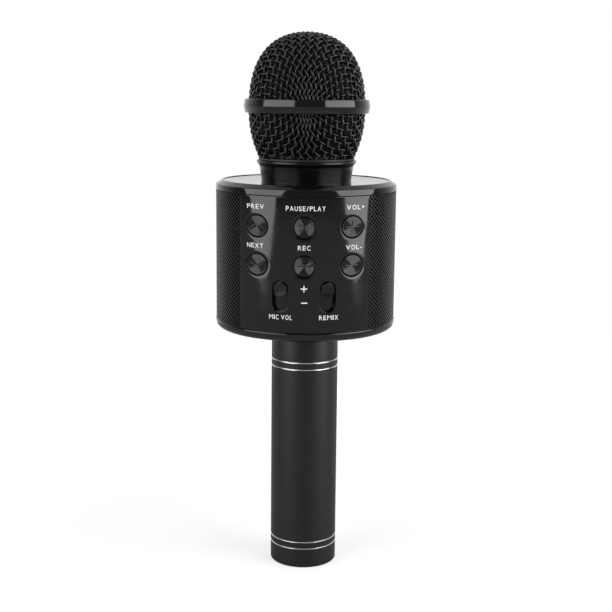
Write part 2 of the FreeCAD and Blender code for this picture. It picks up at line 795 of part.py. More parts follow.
def make_keys():
    for key, (x, z, boss_y) in KEYS.items():
        flange_y = f"{boss_y} - move_gap"
        cap = cylinder(key + "_cap", "button_radius", f"drum_radius - ({flange_y})",
                       x, f"-({flange_y})", z, TO_FRONT)
        face = cylinder(key + "_face", "drum_radius - button_recess", "4 * button_radius",
                        z=f"{z} - 2 * button_radius")
        sphere = doc.addObject("Part::Sphere", key + "_dish")
        hollow = "(dish_radius ^ 2 + button_dish ^ 2) / (2 * button_dish)"
        reach = f"(drum_radius - button_recess - button_dish + {hollow})"
        bind(sphere, Radius=hollow)
        place(sphere, f"{reach} * ({x}) / drum_radius",
              f"-{reach} * sqrt(1 - (({x}) / drum_radius) ^ 2)", z)
        head = cut(key + "_head", common(key + "_top", cap, face), sphere)
        collar = cylinder(key + "_flange", "flange_radius", "button_flange",
                          x, f"-({flange_y})", z, TO_REAR)
        stem = cylinder(key + "_stem", "stem_radius", f"{flange_y} - stem_end_y",
                        x, f"-({flange_y})", z, TO_REAR)
        finish(gather(key + "_solid", head, collar, stem), key)


def make_sliders():
    for slider, x in SLIDERS.items():
        knob = stadium(slider + "_knob", "knob_width", "knob_length", "drum_radius - hub_back_y",
                       x, "drum_radius", "knob_rest_z")
        shape = common(slider + "_crown", knob,
                       cylinder(slider + "_crown_limit", "drum_radius - knob_recess",
                                "2 * knob_length", z="knob_rest_z - knob_length"))
        sphere = doc.addObject("Part::Sphere", slider + "_dish")
        hollow = "(knob_width ^ 2 / 4 + knob_dish ^ 2) / (2 * knob_dish)"
        reach = f"(drum_radius - knob_recess - knob_dish + {hollow})"
        bind(sphere, Radius=hollow)
        place(sphere, f"{reach} * ({x}) / drum_radius",
              f"-{reach} * sqrt(1 - (({x}) / drum_radius) ^ 2)", "knob_rest_z")
        plate = box(slider + "_plate", "skirt_width", "drum_radius", "skirt_length",
                    x, "-drum_radius / 2", "knob_rest_z - skirt_length / 2")
        ring = cut(slider + "_skirt_ring",
                   cylinder(slider + "_skirt_outer", "skirt_radius", "2 * skirt_length",
                            z="knob_rest_z - skirt_length"),
                   cylinder(slider + "_skirt_inner", "skirt_inner_radius", "2 * skirt_length",
                            z="knob_rest_z - skirt_length"))
        skirt = common(slider + "_skirt", plate, ring)
        finish(gather(slider + "_solid", cut(slider + "_head", shape, sphere), skirt),
               slider + "_slider")
        lever = box(slider + "_bar", "lever_width", "hub_back_y - pot_front_y + lever_entry",
                    "lever_length", x, "-(hub_back_y + pot_front_y - lever_entry) / 2",
                    "knob_rest_z - lever_length / 2")
        finish(lever, slider + "_lever")


def make_grille():
    height = "wall_high_z - wall_low_z"
    angle = "360 - 2 * panel_angle - 2 * grille_joint"
    start = "270 + panel_angle + grille_joint"
    sheet = cut("sheet",
                wedge("sheet_outer", "drum_radius", height, "wall_low_z", angle, start),
                cylinder("sheet_inner", "grille_inner_radius", height, z="wall_low_z"))
    finish(sheet, "speaker_grille")
    cloth = cut("cloth",
                wedge("cloth_outer", "cloth_radius", height, "wall_low_z", angle, start),
                cylinder("cloth_inner", "cloth_radius - cloth_thickness", height, z="wall_low_z"))
    finish(cloth, "grille_cloth")


WINDOW_STEPS = (-3, -1, 0, 1, 3)      # sound windows from the rear; the wall stays whole at the bosses


def make_chassis():
    height = "ceiling_z - floor_z"
    wall = cut("chassis_ring", cylinder("chassis_outer", "chassis_radius", height, z="floor_z"),
               cylinder("chassis_bore", "chassis_inner_radius", height, z="floor_z"))
    window_height = "wall_height - window_rim"
    window_z = "lower_seam_z + window_rim / 2"
    panel_window = wedge("panel_window", "cover_radius", "wall_height - 2 * panel_window_rim",
                         "lower_seam_z + panel_window_rim",
                         "2 * (panel_angle + panel_window_margin)",
                         "270 - panel_angle - panel_window_margin")
    sound = [wedge(f"sound_window{i}", "cover_radius", window_height, window_z,
                   "window_angle", f"90 + {step} * window_pitch - window_angle / 2")
             for i, step in enumerate(WINDOW_STEPS)]
    frame = cut("chassis_wall", wall, panel_window, *sound)

    limit = cylinder("chassis_limit", "chassis_radius", height, z="floor_z")
    baffle = box("baffle_plate", "2 * chassis_radius", "baffle_thickness", "ceiling_z - baffle_base_z",
                 y="baffle_y + baffle_thickness / 2", z="baffle_base_z")
    extras = [baffle]
    for side, sign in (("right", ""), ("left", "-")):
        extras.append(box(side + "_rail", "chassis_radius - board_width / 2 + rail_width",
                          "rail_depth", height,
                          f"{sign}(chassis_radius + board_width / 2 - rail_width) / 2",
                          "-board_back_y + rail_depth / 2", "floor_z"))
    for i, (x, y) in enumerate(COVER_SCREWS):
        extras.append(cylinder(f"cover_boss{i}", "cover_boss_radius", height, x, y, "floor_z"))
    inner = common("chassis_inside", gather("chassis_extras", *extras), limit)

    holes = [cylinder("speaker_hole", "basket_radius + fit_gap", "baffle_thickness",
                      y="baffle_y", z="speaker_z", turn=TO_REAR)]
    for i, (x, y) in enumerate(COVER_SCREWS):
        holes.append(screw_hole(f"boss_low{i}", x, y, "floor_z", AHEAD))
    for i, (x, z) in enumerate(board_screw_places()):
        holes.append(screw_hole(f"rail_pilot{i}", x, "-board_front_y", z, TO_REAR))
    for i, (x, z) in enumerate(speaker_screw_places()):
        holes.append(screw_hole(f"baffle_pilot{i}", x, "flange_y", z, TO_FRONT))
    finish(cut("chassis", gather("chassis_solid", frame, inner), *holes), "inner_chassis")


def board_screw_places():
    x = "board_width / 2 - screw_head_radius"
    low = "board_base_z + screw_head_radius"
    high = "board_base_z + board_height - screw_head_radius"
    return [(x, low), (f"-({x})", low), (x, high), (f"-({x})", high)]


def speaker_screw_places():
    """Just outside the flange, so that each head clamps its rim."""
    reach = "(speaker_radius + screw_radius + fit_gap) * sin(45 deg)"
    return [(f"{a}{reach}", f"speaker_z {b} {reach}")
            for a in ("", "-") for b in ("+", "-")]


# ---------------------------------------------------------------------------------------------
# Loudspeaker: each piece is turned about its own axis, then laid along +Y.


def lay_speaker(piece, label):
    place(piece, z="speaker_z", turn=TO_REAR)
    finish(piece, label)


def make_speaker():
    basket = turned("basket_body", [
        ("magnet_radius - basket_wall", "basket_back_y"),
        ("magnet_radius", "basket_back_y"),
        ("basket_radius", "flange_y - basket_wall"),
        ("basket_radius", "flange_y"),
        ("speaker_radius", "flange_y"),
        ("speaker_radius", "flange_y + speaker_flange"),
        ("basket_radius - basket_wall", "flange_y + speaker_flange"),
        ("basket_radius - basket_wall", "flange_y - basket_wall"),
        ("magnet_radius - basket_wall", "basket_back_y + basket_wall"),
        ("plate_bore", "basket_back_y + basket_wall"),
        ("plate_bore", "basket_back_y")])
    lay_speaker(basket, "speaker_basket")

    yoke = turned("yoke_body", [
        ("0", "yoke_y"), ("magnet_radius", "yoke_y"), ("magnet_radius", "magnet_y"),
        ("pole_radius", "magnet_y"), ("pole_radius", "basket_back_y"), ("0", "basket_back_y")])
    lay_speaker(yoke, "speaker_yoke")

    magnet = turned("magnet_body", [
        ("plate_bore", "magnet_y"), ("magnet_radius", "magnet_y"),
        ("magnet_radius", "plate_y"), ("plate_bore", "plate_y")])
    lay_speaker(magnet, "speaker_magnet")

    plate = turned("front_plate_body", [
        ("plate_bore", "plate_y"), ("magnet_radius", "plate_y"),
        ("magnet_radius", "basket_back_y"), ("plate_bore", "basket_back_y")])
    lay_speaker(plate, "speaker_top_plate")

    cone = turned("cone_body", [
        ("coil_radius", "plate_y"), ("coil_outer_radius", "plate_y"),
        ("coil_outer_radius", "cone_neck_y"),
        ("cone_radius", "flange_y"), ("cone_radius", "flange_y + cone_wall"),
        ("coil_radius", "cone_neck_y + cone_wall")])
    lay_speaker(cone, "speaker_cone")

    roll = "(basket_radius - basket_wall - cone_radius) / 2"
    surround = turned("surround_body", [
        ("cone_radius", "flange_y"), (f"cone_radius + {roll}", f"flange_y + {roll}"),
        ("basket_radius - basket_wall", "flange_y"),
        ("basket_radius - basket_wall", "flange_y + cone_wall"),
        (f"cone_radius + {roll}", f"flange_y + cone_wall + {roll}"),
        ("cone_radius", "flange_y + cone_wall")])
    lay_speaker(surround, "speaker_surround")

    cap_base = "cone_neck_y + cone_wall"
    dust = turned("dust_body", [
        ("0", f"{cap_base} + cone_wall"), ("coil_radius", cap_base),
        ("coil_radius", f"{cap_base} + cone_wall"), ("0", f"{cap_base} + 3 * cone_wall")])
    lay_speaker(dust, "speaker_dust_cap")

    wire_x = -number("magnet_radius") - 2 * number("lead_radius")
    wire_z = number("baffle_base_z") + 2 * number("lead_radius")
    board_x = wire_x + number("voice_shift")
    straight = number("voice_straight")
    route = [(wire_x, number("baffle_y"), wire_z), (wire_x, straight, wire_z),
             (board_x, -straight, wire_z), (board_x, -number("board_back_y"), wire_z)]
    finish(lead("voice_lead", route, number("voice_bend")), "speaker_lead")


# ---------------------------------------------------------------------------------------------
# Boards, sockets and the power switch


CHIPS = {      # width, height, x and lift above the board's lower edge
    "processor": ("processor_side", "processor_side", "processor_x", "processor_lift"),
    "amplifier": ("amplifier_width", "amplifier_height", "-amplifier_x", "amplifier_lift"),
    "radio": ("radio_width", "radio_height", "radio_x", "radio_lift"),
    "memory": ("memory_width", "memory_height", "-memory_x", "memory_lift"),
}


def make_boards():
    board = box("board", "board_width", "board_thickness", "board_height",
                y="-board_front_y + board_thickness / 2", z="board_base_z")
    holes = [cylinder(f"board_hole{i}", "screw_radius + fit_gap / 2", "board_thickness", x,
                      "-board_front_y", z, TO_REAR)
             for i, (x, z) in enumerate(board_screw_places())]
    finish(cut("board_drilled", board, *holes), "main_board")

    switches = []
    for key, (x, z, _) in KEYS.items():
        body = box(key + "_tact", "tact_size", "tact_height", "tact_size", x,
                   "-board_front_y - tact_height / 2", f"{z} - tact_size / 2")
        bore = cylinder(key + "_tact_bore", "stem_radius + move_gap", "tact_bore_depth", x,
                        "-tact_front_y", z, TO_REAR)
        switches.append(cut(key + "_switch", body, bore))
    finish(group("tacts", *switches), "tact_switches")

    pots = []
    for slider, x in SLIDERS.items():
        body = box(slider + "_pot", "pot_width", "pot_depth", "pot_length", x,
                   "-board_front_y - pot_depth / 2", "pot_centre_z - pot_length / 2")
        slot = box(slider + "_track", "lever_width + 2 * move_gap", "lever_entry + move_gap",
                   "slider_travel + lever_length + 2 * move_gap", x,
                   "-pot_front_y + (lever_entry + move_gap) / 2",
                   "pot_centre_z - (slider_travel + lever_length) / 2 - move_gap")
        pots.append(cut(slider + "_potentiometer", body, slot))
    finish(group("pots", *pots), "slide_pots")

    chips = [box(chip, width, "chip_height", tall, x, "-board_back_y + chip_height / 2",
                 f"board_base_z + {up}")
             for chip, (width, tall, x, up) in CHIPS.items()]
    finish(group("chips", *chips), "board_chips")

    plate = common("port_plate",
                   cylinder("port_disc", "chassis_inner_radius - move_gap", "board_thickness",
                            z="port_board_z"),
                   box("port_block", "port_board_width", "chassis_radius", "board_thickness",
                       y="port_board_front_y + chassis_radius / 2", z="port_board_z"))
    finish(plate, "port_board")


def make_sockets():
    height = "port_board_z - socket_base_z"
    shell = box("usb_shell", "usb_width", "usb_depth", height, y="usb_y", z="socket_base_z")
    cavity = box("usb_hollow", "usb_width - 2 * socket_wall", "usb_depth - 2 * socket_wall",
                 "usb_cavity", y="usb_y", z="socket_base_z")
    tongue = box("usb_tongue", "usb_width - 2 * socket_wall - 2 * tongue_side_gap", "tongue_thickness",
                 "usb_cavity - tongue_setback", y="usb_y", z="socket_base_z + tongue_setback")
    finish(gather("usb", cut("usb_can", shell, cavity), tongue), "usb_socket")

    small = box("charge_shell", "charge_width", "charge_depth", height, "-charge_x", "charge_y",
                "socket_base_z")
    mouth = box("charge_hollow", "charge_width - 2 * socket_wall", "charge_depth - 2 * socket_wall",
                "charge_cavity", "-charge_x", "charge_y", "socket_base_z")
    finish(cut("charge_can", small, mouth), "charging_socket")

    barrel = cylinder("jack_barrel", "jack_radius", "port_board_z - handle_length", "charge_x",
                      "charge_y", "handle_length")
    bore = cylinder("jack_drill", "jack_bore", "jack_bore_depth", "charge_x", "charge_y",
                    "handle_length")
    finish(cut("jack", barrel, bore), "aux_socket")

    tray = box("card_shell", "card_depth", "card_width", height, "-card_x", "card_y",
               "socket_base_z")
    slit = box("card_mouth", "card_slit", "card_width - 2 * socket_wall",
               "card_cavity", "-card_x", "card_y", "socket_base_z")
    finish(cut("card_can", tray, slit), "card_slot")

    case = box("switch_case", "switch_width", "switch_length", "port_board_z - switch_base_z",
               "card_x", "card_y", "switch_base_z")
    track = box("switch_track", "lever_width + 2 * move_gap",
                "lever_width + switch_travel + 2 * move_gap", "lever_entry + move_gap",
                "card_x", "card_y", "switch_base_z")
    finish(cut("switch", case, track), "power_switch_body")

    rest_y = "card_y - switch_travel / 2"
    cap = box("switch_cap", "switch_knob", "switch_knob", "cover_wall + switch_proud",
              "card_x", rest_y, "handle_length - switch_proud")
    keeper_width = "switch_knob + 2 * switch_keeper_margin"
    keeper = box("switch_keeper", keeper_width, keeper_width,
                 "switch_base_z - floor_z - 2 * move_gap", "card_x", rest_y, "floor_z + move_gap")
    stem = box("switch_stem", "lever_width", "lever_width",
               "switch_base_z + lever_entry - floor_z", "card_x", rest_y, "floor_z")
    finish(gather("switch_button", cap, keeper, stem), "power_switch_knob")


# ---------------------------------------------------------------------------------------------
# Neck and head


def make_neck():
    collar = turned("collar_body", [
        ("spigot_bore", "nut_base_z"), ("spigot_radius", "nut_base_z"),
        ("spigot_radius", "drum_top_z"), ("collar_base_radius", "drum_top_z"),
        ("collar_neck_radius", "collar_top_z - collar_lip"),
        ("collar_lip_radius", "collar_top_z - collar_lip"),
        ("collar_lip_radius", "collar_top_z"), ("collar_bore", "collar_top_z"),
        ("collar_bore", "collar_floor_z"), ("spigot_bore", "collar_floor_z")])
    finish(collar, "neck_collar")
    nut = turned("nut_body", [
        ("spigot_radius + fit_gap / 2", "nut_base_z"), ("nut_radius", "nut_base_z"),
        ("nut_radius", "ceiling_z"), ("spigot_radius + fit_gap / 2", "ceiling_z")])
    finish(nut, "neck_nut")


def make_capsule():
    cup = turned("cup_body", [
        ("capsule_bore", "collar_floor_z"), ("cup_radius", "collar_floor_z"),
        ("cup_radius", "cup_top_z"), ("cup_radius - cradle_cup_wall", "cup_top_z"),
        ("cup_radius - cradle_cup_wall", "capsule_base_z"),
        ("capsule_bore", "capsule_base_z")])
    finish(cup, "capsule_cradle")
    capsule = turned("capsule_can", [
        ("0", "capsule_base_z"), ("capsule_radius", "capsule_base_z"),
        ("capsule_radius", "capsule_top_z"), ("0", "capsule_top_z")])
    finish(capsule, "capsule_body")
    screen = turned("screen_body", [
        ("0", "capsule_top_z"), ("capsule_radius", "capsule_top_z"),
        ("capsule_radius", "screen_top_z - fit_gap"), ("capsule_radius / 2", "screen_top_z"),
        ("0", "screen_top_z")])
    finish(screen, "capsule_screen")
    drop_z = number("nut_base_z") - number("signal_drop")
    route = [(0, 0, number("capsule_base_z")), (0, 0, drop_z), (0, -number("board_back_y"), drop_z)]
    finish(lead("signal_lead", route, number("lead_bend")), "capsule_lead")


def bowl_edges(wall, base):
    """The bowl's side above a height, as a tangent arc and a straight rim set in by a wall."""
    rim = number("mesh_radius") - wall
    widest = number("bowl_widest_z")
    radius = number("bowl_arc") - wall
    centre = number("mesh_radius") - number("bowl_arc")

    def at(z):
        return centre + math.sqrt(radius ** 2 - (z - widest) ** 2)

    middle = (base + widest) / 2
    arc = Part.Arc(Vector(at(base), 0, base), Vector(at(middle), 0, middle), Vector(rim, 0, widest))
    return [arc.toShape(), edge((rim, widest), (rim, number("ring_z")))], at(base)


def dome_edge(wall):
    """The dome's side and crown as one Bezier curve, set in by a wall's thickness."""
    radius = number("mesh_radius") - wall
    low = number("ring_z")
    height = number("dome_height") - wall
    shoulder = low + number("dome_shoulder") * height
    crown = number("dome_crown") * radius
    return edge((radius, low), (radius, shoulder), (crown, low + height), (0, low + height))


PROUD = 1.0             # how far a cutting skin reaches outside the face that it cuts
DOME_STRANDS = 5        # each way across the dome, one for every third wire
BOWL_STRANDS = 12       # each way round the bowl
CROSSING = (45, 135)    # degrees from +X, the two ways of the wires


def bowl_shell(name, outside, inside):
    """The bowl between two distances in from the mesh's outer face."""
    base = number("bowl_base_z")
    ring = number("ring_z")
    rim = number("mesh_radius")
    outer, outer_base = bowl_edges(outside, base)
    inner, inner_base = bowl_edges(inside, base)
    return spun(name, outer + inner + [edge((inner_base, base), (outer_base, base)),
                                       edge((rim - inside, ring), (rim - outside, ring))])


def dome_shell(name, outside, inside):
    """The dome between two distances in from the mesh's outer face."""
    ring = number("ring_z")
    rim = number("mesh_radius")
    top = number("dome_top_z")
    return spun(name, [dome_edge(outside), dome_edge(inside),
                       edge((rim - inside, ring), (rim - outside, ring)),
                       edge((0, top - inside), (0, top - outside))])


def strand_plate(start, shift, lean, angle, height):
    """A thin plate that marks one strand: from a start outwards, shifted, leant, turned about Z."""
    span = 2 * number("mesh_radius")
    width = number("strand_width")
    plate = Part.makeBox(span - start, width, 2 * span, Vector(start, shift - width / 2, -span))
    plate.rotate(Vector(0, 0, 0), Vector(1, 0, 0), lean)
    plate.rotate(Vector(0, 0, 0), Vector(0, 0, 1), angle)
    plate.translate(Vector(0, 0, height))
    return plate


def netted(name, shell, skin, plates, low, high):
    """A shell whose outer skin is sunk between its strands, from one height to another."""
    band = Part.makeCylinder(2 * number("mesh_radius"), high - low, Vector(0, 0, low))
    feature = doc.addObject("Part::Feature", name)
    feature.Shape = shell.Shape.cut(skin.Shape.common(band).cut(plates))
    feature.Placement = Placement()
    return feature


def make_head():
    wall = number("mesh_thickness")
    relief = number("strand_relief")
    border = number("strand_border")
    base = number("bowl_base_z")
    foot = number("ring_foot_z")
    lean = number("strand_lean")
    leant = [strand_plate(number("mesh_radius") / 2, 0, way, 360 * i / BOWL_STRANDS,
                          (base + foot) / 2)
             for way in (lean, -lean) for i in range(BOWL_STRANDS)]
    finish(netted("bowl_net", bowl_shell("bowl", 0, wall),
                  bowl_shell("bowl_skin", -PROUD, relief), leant, base + border, foot - border),
           "lower_grille")

    top = number("dome_top_z")
    shifts = [(i - (DOME_STRANDS - 1) / 2) * number("strand_spacing") for i in range(DOME_STRANDS)]
    upright = [strand_plate(-2 * number("mesh_radius"), shift, 0, angle, top)
               for angle in CROSSING for shift in shifts]
    finish(netted("dome_net", dome_shell("dome", 0, wall),
                  dome_shell("dome_skin", -PROUD, relief), upright,
                  number("ring_head_z") + border, top + PROUD), "upper_grille")

    band = turned("band", [
        ("ring_bore", "ring_foot_z"), ("ring_radius - ring_edge_drop", "ring_foot_z"),
        ("ring_radius", "ring_z"), ("ring_radius - ring_edge_drop", "ring_head_z"),
        ("ring_bore", "ring_head_z")])
    finish(band, "grille_ring")

    thread = turned("thread_body", [
        ("thread_bore", "thread_base_z"), ("thread_radius", "thread_base_z"),
        ("thread_radius", "head_base_z"), ("bowl_base_radius", "head_base_z"),
        ("bowl_base_radius", "bowl_base_z"), ("thread_bore", "bowl_base_z")])
    finish(thread, "head_thread_ring")

    gap = wall + number("move_gap")
    bore = number("foam_bore")
    low = base + number("foam_lift")
    roof = number("screen_top_z") + number("move_gap")
    side, side_base = bowl_edges(gap, low)
    foam = spun("foam", side + [
        dome_edge(gap), edge((0, top - gap), (0, roof)), edge((0, roof), (bore, roof)),
        edge((bore, roof), (bore, low)), edge((bore, low), (side_base, low))])
    finish(foam, "foam_windscreen")


# ---------------------------------------------------------------------------------------------
# Fasteners


def make_screws():
    finish(group("low_screws", *[
        screw(f"low_screw{i}", x, y, "handle_length + screw_head", AHEAD)
        for i, (x, y) in enumerate(COVER_SCREWS)]), "bottom_cover_screws")
    finish(group("board_screw_set", *[
        screw(f"board_screw{i}", x, "-board_front_y", z, TO_REAR)
        for i, (x, z) in enumerate(board_screw_places())]), "board_screws")
    finish(group("coupler_screw_set", *[
        screw(f"coupler_screw{i}", *around("coupler_screw_radius", angle), "coupler_top_z", DOWN,
              "coupler_screw_length")
        for i, angle in enumerate(THIRDS)]), "coupler_screws")
    finish(group("speaker_screw_set", *[
        screw(f"speaker_screw{i}", x, "flange_y + speaker_flange", z, TO_FRONT)
        for i, (x, z) in enumerate(speaker_screw_places())]), "speaker_screws")


make_handle()
make_battery()
make_covers()
make_panel()
make_keys()
make_sliders()
make_grille()
make_chassis()
make_speaker()
make_boards()
make_sockets()
make_neck()
make_capsule()
make_head()
make_screws()
doc.recompute()

# ---------------------------------------------------------------------------------------------
# Check every object, then write each piece to its own file.

for item in doc.Objects:
    if "Invalid" in item.State or "Error" in item.State:
        raise RuntimeError(f"{item.Name} did not build: {item.State}")
for piece in pieces:
    if piece.Shape.isNull() or not piece.Shape.isValid() or not piece.Shape.Solids:
        raise RuntimeError(f"{piece.Label} has no valid solid")

os.makedirs("parts", exist_ok=True)
for piece in pieces:
    piece.Shape.exportStep(f"parts/{piece.Label}.step")
    extent = piece.Shape.BoundBox
    print(f"{piece.Label:24s} solids {len(piece.Shape.Solids):2d} volume {piece.Shape.Volume:9.1f} "
          f"x {extent.XMin:6.1f}..{extent.XMax:5.1f} y {extent.YMin:6.1f}..{extent.YMax:5.1f} "
          f"z {extent.ZMin:6.1f}..{extent.ZMax:6.1f}")
print(len(pieces), "pieces")
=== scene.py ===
# %% [markdown]
# # A karaoke microphone
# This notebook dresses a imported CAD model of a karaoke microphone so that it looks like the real
# object. The CAD model gives the places and the main sizes. Here each visible piece gets its true
# surface: rounded edges, woven wire, punched holes, printed words and a finish. Sizes are worked in
# millimetres, the unit in which such a product is drawn, and turned to metres when a mesh is made.

# %% The frame
import bisect
import math

import bmesh
import bpy
from mathutils import Matrix, Vector
from mathutils.geometry import delaunay_2d_cdt
from mathutils.kdtree import KDTree


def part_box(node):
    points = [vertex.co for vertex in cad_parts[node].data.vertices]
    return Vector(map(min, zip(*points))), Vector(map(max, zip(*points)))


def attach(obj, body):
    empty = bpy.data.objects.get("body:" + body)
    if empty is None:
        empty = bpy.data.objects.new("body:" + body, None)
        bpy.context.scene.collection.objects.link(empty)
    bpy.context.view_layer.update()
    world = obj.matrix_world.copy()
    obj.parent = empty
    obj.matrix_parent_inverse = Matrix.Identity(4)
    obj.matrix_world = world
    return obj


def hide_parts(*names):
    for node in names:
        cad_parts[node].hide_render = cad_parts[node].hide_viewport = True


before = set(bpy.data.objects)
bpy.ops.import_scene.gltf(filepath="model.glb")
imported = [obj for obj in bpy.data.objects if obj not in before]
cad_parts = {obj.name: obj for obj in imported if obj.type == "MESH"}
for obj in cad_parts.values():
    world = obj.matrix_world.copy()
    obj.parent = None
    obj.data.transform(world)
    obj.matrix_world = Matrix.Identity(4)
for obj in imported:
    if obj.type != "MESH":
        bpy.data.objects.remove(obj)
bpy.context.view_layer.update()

MM = 0.001


# %% [markdown]
# ## Sizes
# The main sizes come from the frame, so that a piece fits the solid that it stands for. A node's
# box is enough for them: the microphone is mostly turned, and a turned piece's radius is half its
# box. What a box doesn't say, such as a hole's width, a wall or a small rounding, is a number.

# %% Sizes read from the frame
def low(node):
    """A node's lowest corner in millimetres."""
    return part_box(node)[0] / MM


def high(node):
    """A node's highest corner in millimetres."""
    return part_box(node)[1] / MM


def centre(node):
    """The middle of a node's box in millimetres."""
    return (low(node) + high(node)) / 2


def radius_of(node):
    """The radius of a piece that is turned about the upright axis."""
    return round(max(high(node).x, high(node).y, -low(node).x), 2)


handle_radius = radius_of("handle_tube")
handle_top = high("handle_tube").z
drum_radius = radius_of("speaker_grille")
cover_radius = radius_of("top_cover")
drum_top = high("top_cover").z
wall_low = low("speaker_grille").z
wall_high = high("speaker_grille").z
collar_top = high("neck_collar").z
mesh_radius = radius_of("upper_grille")
ring_z = low("upper_grille").z
dome_top = high("upper_grille").z
print("drum radius", drum_radius, "total height", round(dome_top, 1), "mm")


# %% [markdown]
# ## The camera
# The viewpoint was solved from the photograph's straight edges and ellipses: how far away the
# camera stood, how high, how much it looked down and how much it was rolled. A camera looks along
# its own -Z, so its matrix is built from three axes: right, up and back.

# %% Camera
camera_distance = 538.3       # from the microphone's axis, mm
camera_height = 222.3
camera_orbit = math.radians(0.8)
camera_pan = math.radians(0.044)
camera_tilt = math.radians(10.487)
camera_roll = math.radians(0.553)
camera_lens = 69.217          # mm, for this width of sensor
sensor_width = 36.0

place = Vector((camera_distance * math.sin(camera_orbit),
                -camera_distance * math.cos(camera_orbit), camera_height))
heading = camera_orbit - camera_pan
ahead = Vector((-math.sin(heading) * math.cos(camera_tilt),
                math.cos(heading) * math.cos(camera_tilt), -math.sin(camera_tilt)))
level_right = ahead.cross(Vector((0, 0, 1))).normalized()
level_up = level_right.cross(ahead)
right = level_right * math.cos(camera_roll) + level_up * math.sin(camera_roll)
up = level_up * math.cos(camera_roll) - level_right * math.sin(camera_roll)

camera = bpy.data.objects.new("camera", bpy.data.cameras.new("camera"))
camera.data.sensor_fit = "HORIZONTAL"
camera.data.sensor_width = sensor_width
camera.data.lens = camera_lens
camera.data.clip_start = 0.01
turn = Matrix((right, up, -ahead)).transposed().to_4x4()
camera.matrix_world = Matrix.Translation(place * MM) @ turn
bpy.context.scene.collection.objects.link(camera)
bpy.context.scene.camera = camera
bpy.context.scene.view_settings.view_transform = "Standard"
print("camera at", [round(v) for v in place], "mm")


# %% [markdown]
# ## Nodes and colours
# Shader and geometry trees are both made of nodes. One small function adds a node, sets its
# options and connects its inputs. Colours are written as the hex codes that a picture editor
# shows. Those are sRGB values, and a shader works in linear light, so one function converts them.

# %% Helpers for node trees
def add_node(tree, kind, inputs=None, **settings):
    """Add a node; inputs maps a socket to a value or to another node's output."""
    made = tree.nodes.new(kind)
    for key, value in settings.items():
        setattr(made, key, value)
    for socket, value in (inputs or {}).items():
        if isinstance(value, bpy.types.NodeSocket):
            tree.links.new(value, made.inputs[socket])
        else:
            made.inputs[socket].default_value = value
    return made


def linear(code):
    """An sRGB hex colour as linear red, green, blue and alpha."""
    parts = [int(code[i:i + 2], 16) / 255 for i in (1, 3, 5)]
    return tuple(c / 12.92 if c <= 0.04045 else ((c + 0.055) / 1.055) ** 2.4 for c in parts) + (1,)


# %% [markdown]
# ## Materials
# Almost everything here is black, and black things are told apart by their gloss. Each material
# starts from what the part is made of. The shader's own sockets hold the values that are the same
# all over, and a fine noise changes roughness or height where the real surface is uneven.

# %% One function for a moulded, painted or coated surface
def wiring(material):
    """A material's node tree, its shader and an output that gives object coordinates."""
    tree = material.node_tree
    where = add_node(tree, "ShaderNodeTexCoord").outputs["Object"]
    return tree, tree.nodes["Principled BSDF"], where


def emboss(tree, shader, height, distance, strength=1.0):
    """Raise a material's surface by a height output, over a distance in millimetres."""
    bump = add_node(tree, "ShaderNodeBump",
                    {"Height": height, "Distance": distance * MM, "Strength": strength})
    tree.links.new(bump.outputs["Normal"], shader.inputs["Normal"])


def surface(name, colour, roughness, ior=1.5, metallic=0.0, mottle=None, relief=None):
    """A material with optional mottle (size mm, lowest, highest roughness) and relief (size, height)."""
    material = bpy.data.materials.new(name)
    material.use_nodes = True
    tree, shader, where = wiring(material)
    shader.inputs["Base Color"].default_value = linear(colour)
    shader.inputs["Roughness"].default_value = roughness
    shader.inputs["Metallic"].default_value = metallic
    if not metallic:
        shader.inputs["IOR"].default_value = ior
    if mottle:
        grain, least, most = mottle
        noise = add_node(tree, "ShaderNodeTexNoise",
                         {"Vector": where, "Scale": 1 / (grain * MM), "Detail": 3.0})
        spread = add_node(tree, "ShaderNodeMapRange",
                          {"Value": noise.outputs["Fac"], "From Min": 0.35, "From Max": 0.65,
                           "To Min": least, "To Max": most})
        tree.links.new(spread.outputs["Result"], shader.inputs["Roughness"])
    if relief:
        grain, height = relief
        noise = add_node(tree, "ShaderNodeTexNoise",
                         {"Vector": where, "Scale": 1 / (grain * MM), "Detail": 2.0})
        emboss(tree, shader, noise.outputs["Fac"], height)
    return material


# %% Materials of the outside
polished_abs = surface("polished_abs", "#0b0b0c", 0.07, ior=1.52, mottle=(9.0, 0.05, 0.11),
                       relief=(7.0, 0.004))       # moulded in a mirror-polished tool
satin_abs = surface("satin_abs", "#080809", 0.24, ior=1.42, mottle=(3.0, 0.2, 0.28))
turned_key_abs = surface("turned_key_abs", "#0b0b0c", 0.16, ior=1.52, mottle=(2.0, 0.13, 0.2))
satin_paint = surface("satin_paint", "#030303", 0.24, ior=1.5, mottle=(0.8, 0.19, 0.3))
powder_coat = surface("powder_coat", "#080808", 0.3, ior=1.6, mottle=(0.5, 0.25, 0.36))
blasted_anodised = surface("blasted_anodised", "#060607", 0.38, ior=1.52,
                           mottle=(0.5, 0.33, 0.44), relief=(0.25, 0.012))
bright_cut = surface("bright_cut_aluminium", "#e8e9ea", 0.16, metallic=1.0, mottle=(0.3, 0.12, 0.22))
white_ink = surface("white_ink", "#f0f0f0", 0.5, ior=1.48, mottle=(0.3, 0.42, 0.58))
# Painted shade: a darker, duller black with a low IOR for the land inside the seam, so that the seam
# reads as a shadow line.
seam_shade_abs = surface("painted_seam_shade", "#020202", 0.9, ior=1.3)        # hidden in the seam
moulded_black = surface("moulded_black", "#121213", 0.5, ior=1.5, mottle=(0.7, 0.42, 0.58),
                        relief=(0.35, 0.01))
print(len(bpy.data.materials), "materials so far")
